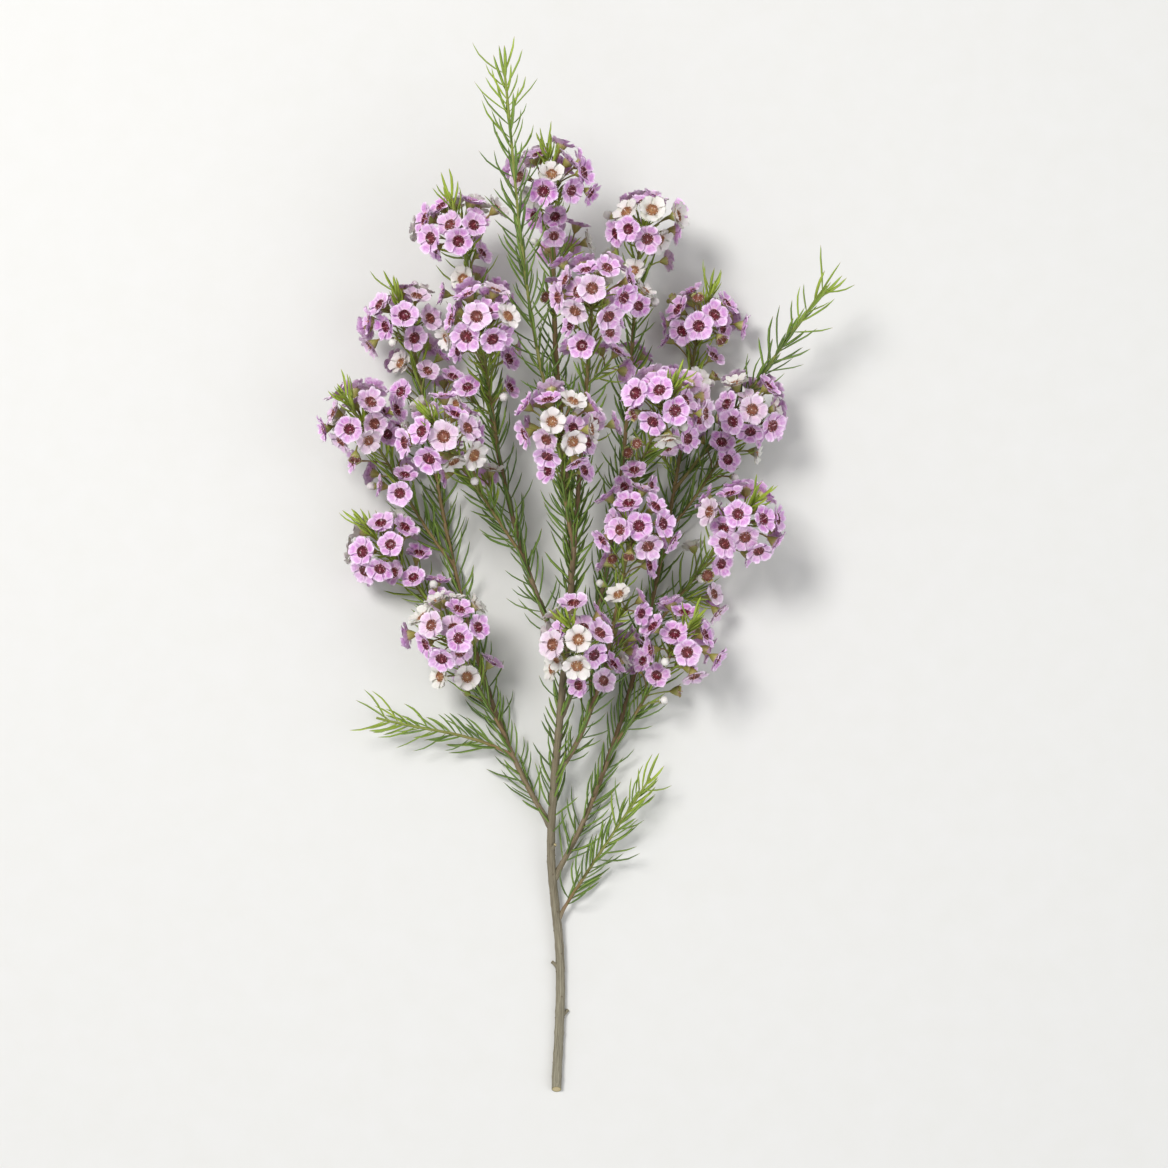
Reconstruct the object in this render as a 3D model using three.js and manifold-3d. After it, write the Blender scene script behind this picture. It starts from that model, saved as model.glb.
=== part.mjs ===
// A cut stem of waxflower, lying on a surface: a woody main stem, branches, leafy twigs,
// domed sprays of five-petalled flowers and tufts of new needle leaves.
// Millimetres, +Z up, the cut end at low Y and the top spray at high Y.

import * as THREE from 'three';
import loadManifold from 'manifold-3d';

const wasm = await loadManifold();
wasm.setup();

const { Vector3 } = THREE;
const UP = new Vector3(0, 0, 1);
const EAST = new Vector3(1, 0, 0);
const radians = THREE.MathUtils.degToRad;

// ---------- driving dimensions: millimetres and degrees ----------

// Where the middle of the cut end lies, seen from the part's origin under the middle of its box.
const CUT_END = new Vector3(-14.7, -268.4, 0);

// The main axis from the cut end, up to where the foot of the top spray carries it on.
const MAIN_AXIS = [
  [0, 0, 1.8],
  [2, 65, 2.9],
  [-3, 130, 9],
  [2, 200, 21],
  [8, 270, 33],
  [5, 330, 42],
  [0, 386, 50],
];
const MAIN_RADII = [2.6, 1.1];
const LAST_STRETCH = 24;
const WOODY_LENGTH = 216;
const CUT_SLANT = 35;
const TWIG_STUBS = [
  { at: 38, turn: 200 },
  { at: 64, turn: 15 },
  { at: 128, turn: 120 },
];
const TWIG_STUB = { length: 6, radius: 0.9, angle: 50 };

// Branches leave the main axis at a distance from the cut end. Twigs leave a branch at a share of
// its length. Each ends in a spray, given by the middle of its dome, its rise over the
// horizontal, its flowers and buds, and whether a tuft of new leaves grows through it.
// A settled spray is one that the stem rests on.
const TOP_SPRAY = { middle: [-4, 486, 80], rise: 46, flowers: 9, buds: 1, tuft: true };
const BRANCHES = [
  {
    name: 'right_low',
    start: 112,
    spray: { middle: [82, 424, 36], rise: 34, flowers: 8, buds: 1, tuft: true, settled: true },
    twigs: [
      { at: 0.26, spray: { middle: [70, 246, 50], rise: 50, flowers: 7, buds: 1, tuft: true } },
      { at: 0.46, spray: { middle: [102, 308, 60], rise: 52, flowers: 9, buds: 1, tuft: true } },
      { at: 0.66, spray: { middle: [110, 368, 44], rise: 44, flowers: 8, buds: 0, tuft: false } },
    ],
  },
  {
    name: 'left_low',
    start: 140,
    spray: { middle: [-84, 420, 40], rise: 40, flowers: 7, buds: 2, tuft: true },
    twigs: [
      { at: 0.2, spray: { middle: [-60, 250, 56], rise: 54, flowers: 7, buds: 1, tuft: false } },
      {
        at: 0.38,
        spray: { middle: [-100, 298, 32], rise: 32, flowers: 7, buds: 1, tuft: true, settled: true },
      },
      { at: 0.56, spray: { middle: [-108, 362, 56], rise: 48, flowers: 9, buds: 0, tuft: true } },
    ],
  },
  {
    name: 'middle',
    start: 168,
    spray: { middle: [44, 304, 78], rise: 56, flowers: 7, buds: 1, tuft: false },
    twigs: [
      { at: 0.4, spray: { middle: [8, 244, 70], rise: 58, flowers: 6, buds: 1, tuft: true } },
    ],
  },
  {
    name: 'right_high',
    start: 200,
    spray: { middle: [48, 468, 60], rise: 42, flowers: 7, buds: 1, tuft: false },
    twigs: [
      { at: 0.42, spray: { middle: [60, 364, 98], rise: 56, flowers: 9, buds: 1, tuft: true } },
    ],
  },
  {
    name: 'left_high',
    start: 232,
    spray: { middle: [-54, 464, 60], rise: 42, flowers: 7, buds: 0, tuft: true },
    twigs: [
      { at: 0.25, spray: { middle: [-62, 348, 92], rise: 56, flowers: 9, buds: 1, tuft: true } },
      { at: 0.5, spray: { middle: [-40, 408, 94], rise: 52, flowers: 7, buds: 1, tuft: false } },
    ],
  },
  {
    name: 'top',
    start: 262,
    spray: { middle: [20, 422, 108], rise: 54, flowers: 8, buds: 1, tuft: false },
    twigs: [
      { at: 0.22, spray: { middle: [0, 350, 112], rise: 62, flowers: 9, buds: 1, tuft: false } },
    ],
  },
];

// Flowerless shoots, given by the branch that bears them (or the main axis), where, and their tip.
const SHOOTS = [
  { name: 'low', on: 'main', at: 90, tip: [50, 166, 18] },
  { name: 'left', on: 'left_low', at: 0.16, tip: [-96, 198, 20] },
  { name: 'right', on: 'right_low', at: 0.74, tip: [142, 424, 54] },
  { name: 'top', on: 'main', at: 346, tip: [-26, 526, 104] },
];

const BRANCH = { radii: [1.5, 0.9], sides: 5, step: 32 };
const TWIG = { radii: [0.95, 0.75], sides: 5, step: 24 };
const SHOOT = { radii: [0.95, 0.65], sides: 5, step: 24 };
const TUFT = { radii: [0.65, 0.5], sides: 4, step: 22, length: 22 };
const MAIN_SIDES = 8;
const MAIN_STEP = 34;
const FORK_ANGLE = 37;
const FORK_PULL = 0.35;
const FOOT_PULL = 0.35;
const LONGEST_FOOT_PULL = 32;
const LOWEST_AXIS = 4;
const STEEPEST_LIFT = 0.95;
const RING_ROOM = 1;

// A short collar of each side axis belongs to what bears it, and the axis goes on after a gap.
const COLLAR_EXTRA = 0.8;
const COLLAR_SWELL = 1.3;
const GAP = 0.3;

// A spray: a rachis, and flowers on a dome round its upper end, in a sunflower spiral.
const DOME_RADIUS = 22;
const RACHIS_BELOW = 10;
const RACHIS_ABOVE = 7.5;
const RACHIS_RADII = [0.95, 0.9];
const RACHIS_SIDES = 4;
const SPIRAL_STEP = 7.4;
const GOLDEN_ANGLE = 137.508;
const OPEN_START = 1.9;
const CLOSED_START = 0.7;
const FACING_SPREAD = 1.4;
const PEDICEL_RADIUS = 0.5;
const PEDICEL_TOP = 4;
const PEDICEL_LOW = -8;
const BUD_SINK = 4;
const HEAD_SPREAD = { bearing: 9, lean: 2.5, depth: 1.3 };

// A flower, along its own axis from the foot of its calyx.
const PETALS = 5;
const FLOWER = {
  calyxRadius: 2.6,
  calyxTop: 4.0,
  cupRadius: 2.9,
  cupRim: 5.2,
  cupFloor: 4.3,
  notch: { radius: 4.6, height: 5.2 },
  rim: { radius: 7.3, height: 6.3, turn: 17 },
};
const FLOWER_SIZE_SPREAD = 0.08;
const CALYX_ROD = 1.8;
const PETAL_ROD = 0.9;
const BUD = { calyxRadius: 1.7, calyxTop: 3.2, ballRadius: 2.3, ballMiddle: 5, top: 7.2 };

// Needle leaves, in opposite pairs that turn a quarter from one pair to the next.
const LEAF = { length: 20, radius: 0.58, angle: 31 };
const YOUNG_LEAF = { length: 15, radius: 0.48, angle: 21 };
const LEAF_SPREAD = { turn: 14, angle: 9, length: 0.22 };
const LEAF_EASINGS = [1, 1.35, 0.7, 0.45];
const ROOT_SHARE = 0.25;
const PAIR_STEP = { branch: 17, twig: 12, shoot: 13, tuft: 6 };
const BARE_LENGTH = { woody: 150, leader: 12, branch: 45, twig: 10, shoot: 10, tuft: 8 };
const BARE_END = 3.5;

// The lowest petals of the settled sprays and the stem's cut end are flat where they rest.
const REST_DIP = 0.35;
const SURFACE_CLEARANCE = 1.0;

// Edges shorter than this are left out when the solids of a node are joined.
const SMALLEST_EDGE = 0.1;

const COLOURS = {
  bark: 0x8b7d5e,
  young: 0x8f9a52,
  twig: 0x7f9a48,
  fresh: 0x8fb84a,
  petal: 0xd9a3d6,
};

// ---------- seeded random draws ----------

const SEED_MODULUS = 2147483647;
const SEED_FACTOR = 16807;
const FIRST_SEED = 4021;
const SEED_STRIDE = 7919;
let seedsGiven = 0;

// Each axis and spray has its own run of draws, so a change in one leaves the others as they are.
function newDraws() {
  let state = FIRST_SEED + SEED_STRIDE * seedsGiven;
  seedsGiven += 1;
  const draw = () => {
    state = (state * SEED_FACTOR) % SEED_MODULUS;
    return state / SEED_MODULUS;
  };
  draw();
  draw();
  return draw;
}

// ---------- points, directions and paths ----------

const point = (values) => new Vector3(...values);
const beyond = (start, direction, distance) => start.clone().addScaledVector(direction, distance);
const between = (start, end, share) => start.clone().lerp(end, share);
const towards = (start, end) => end.clone().sub(start).normalize();

// Two unit directions square to a third. The second points up, unless the third itself does.
function across(along) {
  const guide = Math.abs(along.z) > STEEPEST_LIFT ? EAST : UP;
  const side = guide.clone().cross(along).normalize();
  const lift = along.clone().cross(side);
  return [side, lift];
}

// The direction at an angle from `along`, on the side that `turn` gives.
function leaning(along, angle, turn) {
  const [side, lift] = across(along);
  return along.clone().multiplyScalar(Math.cos(angle))
    .addScaledVector(side, Math.sin(angle) * Math.cos(turn))
    .addScaledVector(lift, Math.sin(angle) * Math.sin(turn));
}

// A curve as straight steps, with the place and direction at any distance along it.
function pathOf(curve, step) {
  const chord = curve.getPoint(0).distanceTo(curve.getPoint(1));
  const count = Math.max(2, Math.ceil(chord / step));
  const points = [];
  const reach = [0];
  for (let i = 0; i <= count; i += 1) {
    points.push(curve.getPoint(i / count));
    if (i > 0) {
      reach.push(reach[i - 1] + points[i].distanceTo(points[i - 1]));
    }
  }
  const length = reach[count];
  const at = (distance) => {
    let i = 0;
    while (i < count - 1 && reach[i + 1] < distance) {
      i += 1;
    }
    const share = (distance - reach[i]) / (reach[i + 1] - reach[i]);
    return { place: between(points[i], points[i + 1], share), along: towards(points[i], points[i + 1]) };
  };
  // The way a ring faces: halfway between the steps on its two sides, and at the end the curve's own.
  const facing = (distance) => {
    if (distance >= length) {
      return curve.getTangent(1);
    }
    return at(distance - RING_ROOM).along.add(at(distance + RING_ROOM).along).normalize();
  };
  return { reach, length, at, facing };
}

// A side axis: it leaves its bearer at the fork angle and swings round to end along `heading`.
function sideCurve(bearer, distance, foot, heading) {
  const { place, along } = bearer.at(distance);
  const reach = foot.clone().sub(place);
  const outward = reach.clone().addScaledVector(along, -reach.dot(along)).normalize();
  const leaving = along.clone().multiplyScalar(Math.cos(radians(FORK_ANGLE)))
    .addScaledVector(outward, Math.sin(radians(FORK_ANGLE)));
  const span = reach.length();
  const lowestPull = (foot.z - LOWEST_AXIS) / heading.z;
  const first = beyond(place, leaving, span * FORK_PULL);
  const second = beyond(foot, heading, -Math.min(span * FOOT_PULL, LONGEST_FOOT_PULL, lowestPull));
  first.z = Math.max(first.z, LOWEST_AXIS);
  return new THREE.CubicBezierCurve3(place, first, second, foot);
}

// ---------- closed solids ----------

function solidOf(corners, triangles) {
  const mesh = new wasm.Mesh({
    numProp: 3,
    vertProperties: new Float32Array(corners.flatMap((corner) => corner.toArray())),
    triVerts: new Uint32Array(triangles.flat()),
  });
  return new wasm.Manifold(mesh);
}

// Corners round a middle. A ring with an even count has one of its sides at the bottom.
function ring(middle, along, radius, sides) {
  const [side, lift] = across(along);
  const corners = [];
  for (let i = 0; i < sides; i += 1) {
    const angle = (2 * Math.PI * (i + 0.5)) / sides;
    corners.push(beyond(beyond(middle, side, radius * Math.cos(angle)), lift, radius * Math.sin(angle)));
  }
  return corners;
}

// The triangles between two rings of one count, or between a ring and a single point.
function bridge(low, lowCount, high, highCount) {
  const triangles = [];
  const count = Math.max(lowCount, highCount);
  for (let i = 0; i < count; i += 1) {
    const next = (i + 1) % count;
    if (lowCount > 1) {
      triangles.push([low + i, low + next, high + (highCount > 1 ? next : 0)]);
    }
    if (highCount > 1) {
      triangles.push([low + (lowCount > 1 ? i : 0), high + next, high + i]);
    }
  }
  return triangles;
}

function capOf(first, count) {
  const triangles = [];
  for (let i = 1; i + 1 < count; i += 1) {
    triangles.push([first, first + i, first + i + 1]);
  }
  return triangles;
}

const turnedOver = (triangles) => triangles.map(([a, b, c]) => [a, c, b]);

// A closed solid through rings of corners, from its foot to its tip.
function loft(rings) {
  const triangles = turnedOver(capOf(0, rings[0].length));
  let low = 0;
  for (let i = 0; i + 1 < rings.length; i += 1) {
    const high = low + rings[i].length;
    triangles.push(...bridge(low, rings[i].length, high, rings[i + 1].length));
    low = high;
  }
  triangles.push(...capOf(low, rings[rings.length - 1].length));
  return solidOf(rings.flat(), triangles);
}

// The places on a path where a tube has its rings, from one distance to another.
function stations(path, from, to) {
  const inner = path.reach.filter((reach) => reach > from + RING_ROOM && reach < to - RING_ROOM);
  return [from, ...inner, to];
}

function tube(path, from, to, radiusAt, sides) {
  return loft(stations(path, from, to).map((distance) => (
    ring(path.at(distance).place, path.facing(distance), radiusAt(distance), sides)
  )));
}

// ---------- what grows where ----------

// Every node's solids by name, and the rods that other nodes have to stay clear of.
const nodes = new Map();
const rods = [];

function grow(name, colour, solid) {
  if (!nodes.has(name)) {
    nodes.set(name, { colour, solids: [], settled: false });
  }
  nodes.get(name).solids.push(solid);
}

function fill(owner, start, end, radius) {
  rods.push({ owner, start, end, radius });
}

function fillAlong(owner, path, from, to, radius) {
  const places = stations(path, from, to);
  for (let i = 0; i + 1 < places.length; i += 1) {
    fill(owner, path.at(places[i]).place, path.at(places[i + 1]).place, radius);
  }
}

// The least distance between two straight rods' middle lines.
function distanceBetween(first, second) {
  const along = first.end.clone().sub(first.start);
  const other = second.end.clone().sub(second.start);
  const offset = first.start.clone().sub(second.start);
  const a = along.dot(along);
  const e = other.dot(other);
  const f = other.dot(offset);
  const c = along.dot(offset);
  const b = along.dot(other);
  const denominator = a * e - b * b;
  const clamp = (value) => Math.min(1, Math.max(0, value));
  let s = denominator > 0 ? clamp((b * f - c * e) / denominator) : 0;
  const t = clamp((b * s + f) / e);
  s = clamp((b * t - c) / a);
  return beyond(first.start, along, s).distanceTo(beyond(second.start, other, t));
}

function isClear(rod, owner) {
  if (Math.min(rod.start.z, rod.end.z) < SURFACE_CLEARANCE) {
    return false;
  }
  return rods.every((other) => (
    other.owner === owner || distanceBetween(rod, other) > rod.radius + other.radius + GAP
  ));
}

// ---------- leaves ----------

// The first easing of a leaf's angle that keeps it clear of everything, or none.
function placeLeaf(name, colour, root, along, turn, angle, length, radius) {
  for (const easing of LEAF_EASINGS) {
    const heading = leaning(along, angle * easing, turn);
    const tip = beyond(root, heading, length);
    const rod = { start: between(root, tip, ROOT_SHARE), end: tip, radius };
    if (isClear(rod, name)) {
      grow(name, colour, loft([ring(root, heading, radius, 3), [tip]]));
      return [rod];
    }
  }
  return [];
}

function leafPairs({ name, colour, path, step }, from, to, kind) {
  const draw = newDraws();
  const ownLeaves = [];
  let turn = draw() * Math.PI;
  for (let distance = from; distance <= to - BARE_END; distance += step) {
    const { place, along } = path.at(distance);
    for (const half of [0, Math.PI]) {
      const leafTurn = turn + half + radians(LEAF_SPREAD.turn) * (2 * draw() - 1);
      const angle = radians(kind.angle + LEAF_SPREAD.angle * (2 * draw() - 1));
      const length = kind.length * (1 + LEAF_SPREAD.length * (2 * draw() - 1));
      ownLeaves.push(...placeLeaf(name, colour, place, along, leafTurn, angle, length, kind.radius));
    }
    turn += Math.PI / 2;
  }
  ownLeaves.forEach((leaf) => fill(name, leaf.start, leaf.end, leaf.radius));
}

// ---------- flowers and buds ----------

// A frame that takes a flower's own points to where the flower stands.
function standAt(foot, axis, turn, size) {
  const [side, lift] = across(axis);
  return (radius, angle, height) => beyond(foot, axis, height * size)
    .addScaledVector(side, radius * size * Math.cos(angle + turn))
    .addScaledVector(lift, radius * size * Math.sin(angle + turn));
}

// A pedicel's two ends, alike so that it doesn't twist: its root on the rachis, and the calyx's foot.
function pedicelRings(root, foot, axis) {
  return [ring(root, axis, PEDICEL_RADIUS, 3), ring(foot, axis, PEDICEL_RADIUS, 3)];
}

// The triangles from a ring of three to a ring of five, both counted round the same way.
function widen(three, five) {
  return [
    [three, five + 1, five],
    [three, three + 1, five + 1],
    [three + 1, five + 2, five + 1],
    [three + 1, five + 3, five + 2],
    [three + 1, three + 2, five + 3],
    [three + 2, five + 4, five + 3],
    [three + 2, three, five + 4],
    [three, five, five + 4],
  ];
}

// One flower with its pedicel: a calyx cone, a sunk cup and five round petals.
function flowerSolid(rings, stand) {
  const corners = rings.flat();
  const foot = corners.length - 3;
  const triangles = turnedOver(capOf(0, 3));
  triangles.push(...bridge(0, 3, foot, 3));
  const fifth = (2 * Math.PI) / PETALS;
  const addRing = (radius, height, turn) => {
    const first = corners.length;
    for (let i = 0; i < PETALS; i += 1) {
      corners.push(stand(radius, i * fifth + turn, height));
    }
    return first;
  };
  const rimTurn = radians(FLOWER.rim.turn);
  const calyx = addRing(FLOWER.calyxRadius, FLOWER.calyxTop, 0);
  const notch = addRing(FLOWER.notch.radius, FLOWER.notch.height, 0);
  const left = addRing(FLOWER.rim.radius, FLOWER.rim.height, fifth / 2 - rimTurn);
  const right = addRing(FLOWER.rim.radius, FLOWER.rim.height, fifth / 2 + rimTurn);
  const cup = addRing(FLOWER.cupRadius, FLOWER.cupRim, 0);
  const floor = corners.length;
  corners.push(stand(0, 0, FLOWER.cupFloor));
  triangles.push(...widen(foot, calyx));
  for (let i = 0; i < PETALS; i += 1) {
    const next = (i + 1) % PETALS;
    const petal = (inner, nextInner) => [
      [inner, notch + i, left + i],
      [inner, left + i, nextInner],
      [nextInner, left + i, right + i],
      [nextInner, right + i, notch + next],
    ];
    triangles.push(...petal(cup + i, cup + next));
    triangles.push(...turnedOver(petal(calyx + i, calyx + next)));
    triangles.push([floor, cup + i, cup + next]);
  }
  return solidOf(corners, triangles);
}

function budSolid(rings, stand) {
  const corners = rings.flat();
  const foot = corners.length - 3;
  const triangles = turnedOver(capOf(0, 3));
  triangles.push(...bridge(0, 3, foot, 3));
  const calyx = corners.length;
  const ball = calyx + PETALS;
  const top = ball + PETALS;
  for (const [radius, height] of [[BUD.calyxRadius, BUD.calyxTop], [BUD.ballRadius, BUD.ballMiddle]]) {
    for (let i = 0; i < PETALS; i += 1) {
      corners.push(stand(radius, (2 * Math.PI * i) / PETALS, height));
    }
  }
  corners.push(stand(0, 0, BUD.top));
  triangles.push(...widen(foot, calyx), ...bridge(calyx, PETALS, ball, PETALS));
  triangles.push(...bridge(ball, PETALS, top, 1));
  return solidOf(corners, triangles);
}

// ---------- sprays ----------

// The way a spray looks: away from what bears it, and up by its rise.
function sprayHeading(spray, from) {
  const level = point(spray.middle).sub(from).setZ(0).normalize();
  const rise = radians(spray.rise);
  return level.multiplyScalar(Math.cos(rise)).addScaledVector(UP, Math.sin(rise));
}

// Every flower and bud of a spray, as its foot, axis, turn and size, on a dome round `hub`.
function sprayHeads(spray, hub, heading, draw) {
  const heads = [];
  const count = spray.flowers + spray.buds;
  const first = spray.tuft ? OPEN_START : CLOSED_START;
  const turn = draw() * 2 * Math.PI;
  for (let i = 0; i < count; i += 1) {
    const isBud = i >= spray.flowers;
    const size = 1 + FLOWER_SIZE_SPREAD * (2 * draw() - 1);
    const ownTurn = draw() * 2 * Math.PI;
    const lean = radians(HEAD_SPREAD.lean) * (2 * draw() - 1);
    const spread = (SPIRAL_STEP / DOME_RADIUS) * Math.sqrt(i + first) + lean;
    const bearing = turn + i * radians(GOLDEN_ANGLE) + radians(HEAD_SPREAD.bearing) * (2 * draw() - 1);
    const outward = leaning(heading, spread, bearing);
    const sink = HEAD_SPREAD.depth * (2 * draw() - 1) + (isBud ? BUD_SINK : 0);
    const rootAt = PEDICEL_TOP + ((PEDICEL_LOW - PEDICEL_TOP) * i) / (count - 1);
    heads.push({
      isBud,
      size,
      turn: ownTurn,
      axis: leaning(heading, spread * FACING_SPREAD, bearing),
      foot: beyond(hub, outward, DOME_RADIUS - FLOWER.rim.height - sink),
      root: beyond(hub, heading, rootAt),
    });
  }
  return heads;
}

// The corners of a flower's petals.
function petalCorners(head) {
  const stand = standAt(head.foot, head.axis, head.turn, head.size);
  const fifth = (2 * Math.PI) / PETALS;
  const corners = [];
  for (let i = 0; i < PETALS; i += 1) {
    for (const side of [-1, 1]) {
      const turn = (i + 0.5) * fifth + side * radians(FLOWER.rim.turn);
      corners.push(stand(FLOWER.rim.radius, turn, FLOWER.rim.height));
    }
  }
  return corners;
}

const lowestOf = (heads) => Math.min(...heads.flatMap(petalCorners).map((corner) => corner.z));

// A spray laid out from where its bearer leaves the main axis. A settled one is let down, or
// lifted, until its lowest petal dips just into the surface.
function layOutSpray(name, spray, from) {
  const draw = newDraws();
  const heading = sprayHeading(spray, from);
  const hub = beyond(point(spray.middle), heading, -DOME_RADIUS);
  const heads = sprayHeads(spray, hub, heading, draw);
  const lowest = lowestOf(heads);
  const shift = spray.settled ? -REST_DIP - lowest : Math.max(0, GAP - lowest);
  hub.z += shift;
  heads.forEach((head) => {
    head.foot.z += shift;
    head.root.z += shift;
  });
  return { name, spray, heading, hub, heads, foot: beyond(hub, heading, -RACHIS_BELOW) };
}

function growSpray(layout) {
  const { name, heading, hub, heads } = layout;
  const start = beyond(layout.foot, heading, GAP);
  const top = beyond(hub, heading, RACHIS_ABOVE);
  grow(name, COLOURS.petal, loft([
    ring(start, heading, RACHIS_RADII[0], RACHIS_SIDES),
    ring(top, heading, RACHIS_RADII[1], RACHIS_SIDES),
  ]));
  nodes.get(name).settled = layout.spray.settled === true;
  fill(name, start, top, RACHIS_RADII[0]);
  for (const head of heads) {
    const stand = standAt(head.foot, head.axis, head.turn, head.size);
    const rings = pedicelRings(head.root, head.foot, head.axis);
    const solid = head.isBud ? budSolid(rings, stand) : flowerSolid(rings, stand);
    grow(name, COLOURS.petal, solid);
    fillHead(name, head, stand);
  }
}

// The room that a flower or bud takes: rods along its pedicel, calyx and petals.
function fillHead(name, head, stand) {
  fill(name, head.root, head.foot, PEDICEL_RADIUS);
  if (head.isBud) {
    fill(name, stand(0, 0, BUD.calyxTop), stand(0, 0, BUD.ballMiddle), BUD.ballRadius);
    return;
  }
  fill(name, stand(0, 0, CALYX_ROD), stand(0, 0, FLOWER.calyxTop), CALYX_ROD);
  petalCorners(head).forEach((corner) => fill(name, stand(0, 0, FLOWER.cupFloor), corner, PETAL_ROD));
}

// ---------- the whole stem ----------

// The radius along an axis, from its foot to its end.
const taper = ([foot, end], length) => (distance) => foot + (end - foot) * (distance / length);

// A side axis: a collar on its bearer, long enough to stand clear of it, then its own tube.
function growAxis(name, bearer, curve, kind, colour) {
  const path = pathOf(curve, kind.step);
  const fork = path.at(0).along.angleTo(bearer.along);
  const collar = (bearer.radius + kind.radii[0] + GAP) / Math.sin(fork) + COLLAR_EXTRA;
  const radiusAt = taper(kind.radii, path.length);
  const swollen = (distance) => radiusAt(distance) * (distance < collar / 2 ? COLLAR_SWELL : 1);
  grow(bearer.name, bearer.colour, tube(path, 0, collar, swollen, kind.sides));
  fillAlong(bearer.name, path, 0, collar, kind.radii[0]);
  grow(name, colour, tube(path, collar + GAP, path.length, radiusAt, kind.sides));
  fillAlong(name, path, collar + GAP, path.length, kind.radii[0]);
  return { name, path, colour, radiusAt };
}

// What bears a side axis, at a distance along it.
const bearerAt = ({ name, path, colour, radiusAt }, distance) => ({
  name, colour, radius: radiusAt(distance), along: path.at(distance).along,
});

const topSpray = layOutSpray('spray_top', TOP_SPRAY, point(MAIN_AXIS.at(-3)));
const mainCurve = new THREE.CatmullRomCurve3([
  ...MAIN_AXIS.map(point),
  beyond(topSpray.foot, topSpray.heading, -LAST_STRETCH),
  topSpray.foot,
], false, 'catmullrom');
const main = pathOf(mainCurve, MAIN_STEP);
const mainRadiusAt = taper(MAIN_RADII, main.length);

// The woody part starts with a slanted cut.
function woodySolid() {
  const rings = stations(main, 0, WOODY_LENGTH).map((distance) => {
    const slant = distance === 0 ? radians(CUT_SLANT) : 0;
    const facing = leaning(main.facing(distance), slant, -Math.PI / 2);
    return ring(main.at(distance).place, facing, mainRadiusAt(distance), MAIN_SIDES);
  });
  return loft(rings);
}

grow('woody_stem', COLOURS.bark, woodySolid());
nodes.get('woody_stem').settled = true;
fillAlong('woody_stem', main, 0, WOODY_LENGTH, MAIN_RADII[0]);
for (const stub of TWIG_STUBS) {
  const { place, along } = main.at(stub.at);
  const heading = leaning(along, radians(TWIG_STUB.angle), radians(stub.turn));
  const end = beyond(place, heading, TWIG_STUB.length);
  grow('woody_stem', COLOURS.bark, loft([
    ring(place, heading, TWIG_STUB.radius, MAIN_SIDES / 2),
    ring(end, heading, TWIG_STUB.radius, MAIN_SIDES / 2),
  ]));
}
grow('leader', COLOURS.young, tube(main, WOODY_LENGTH + GAP, main.length, mainRadiusAt, MAIN_SIDES));
fillAlong('leader', main, WOODY_LENGTH + GAP, main.length, mainRadiusAt(WOODY_LENGTH));

const mainAxisAt = (distance) => ({
  name: distance < WOODY_LENGTH ? 'woody_stem' : 'leader',
  colour: distance < WOODY_LENGTH ? COLOURS.bark : COLOURS.young,
  path: main,
  radiusAt: mainRadiusAt,
});

const axes = [];
const sprays = [topSpray];
const branchAxes = new Map();
for (const branch of BRANCHES) {
  const bearer = bearerAt(mainAxisAt(branch.start), branch.start);
  const fork = main.at(branch.start).place;
  const layout = layOutSpray(`spray_${branch.name}_end`, branch.spray, fork);
  const curve = sideCurve(main, branch.start, layout.foot, layout.heading);
  const axis = growAxis(`branch_${branch.name}`, bearer, curve, BRANCH, COLOURS.young);
  axes.push({ ...axis, bare: BARE_LENGTH.branch, step: PAIR_STEP.branch });
  sprays.push(layout);
  branchAxes.set(branch.name, axis);
  branch.twigs.forEach((twig, i) => {
    const name = `${branch.name}_${i + 1}`;
    const distance = twig.at * axis.path.length;
    const twigLayout = layOutSpray(`spray_${name}`, twig.spray, axis.path.at(distance).place);
    const twigCurve = sideCurve(axis.path, distance, twigLayout.foot, twigLayout.heading);
    const grown = growAxis(`twig_${name}`, bearerAt(axis, distance), twigCurve, TWIG, COLOURS.twig);
    axes.push({ ...grown, bare: BARE_LENGTH.twig, step: PAIR_STEP.twig });
    sprays.push(twigLayout);
  });
}

for (const shoot of SHOOTS) {
  const onMain = shoot.on === 'main';
  const axis = onMain ? mainAxisAt(shoot.at) : branchAxes.get(shoot.on);
  const distance = onMain ? shoot.at : shoot.at * axis.path.length;
  const tip = point(shoot.tip);
  const heading = towards(axis.path.at(distance).place, tip);
  const curve = sideCurve(axis.path, distance, tip, heading);
  const grown = growAxis(`shoot_${shoot.name}`, bearerAt(axis, distance), curve, SHOOT, COLOURS.twig);
  axes.push({ ...grown, bare: BARE_LENGTH.shoot, step: PAIR_STEP.shoot });
}

sprays.forEach(growSpray);

// The tufts of new leaves go on from the top of the rachis, through the open middle of the dome.
const tufts = sprays.filter((layout) => layout.spray.tuft).map((layout) => {
  const name = layout.name.replace('spray', 'tuft');
  const foot = beyond(layout.hub, layout.heading, RACHIS_ABOVE + GAP);
  const curve = new THREE.LineCurve3(foot, beyond(foot, layout.heading, TUFT.length));
  const path = pathOf(curve, TUFT.step);
  grow(name, COLOURS.fresh, tube(path, 0, path.length, taper(TUFT.radii, path.length), TUFT.sides));
  fillAlong(name, path, 0, path.length, TUFT.radii[0]);
  return { name, path, colour: COLOURS.fresh, bare: BARE_LENGTH.tuft, step: PAIR_STEP.tuft };
});

// The leaves come last, so that each finds the room that everything else leaves.
tufts.forEach((axis) => leafPairs(axis, axis.bare, axis.path.length, YOUNG_LEAF));
axes.forEach((axis) => leafPairs(axis, axis.bare, axis.path.length, LEAF));
const mainLeaves = [[BARE_LENGTH.woody, WOODY_LENGTH], [WOODY_LENGTH + BARE_LENGTH.leader, main.length]];
for (const [from, to] of mainLeaves) {
  leafPairs({ ...mainAxisAt(from), step: PAIR_STEP.branch }, from, to, LEAF);
}

// ---------- one closed mesh for each node ----------

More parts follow.
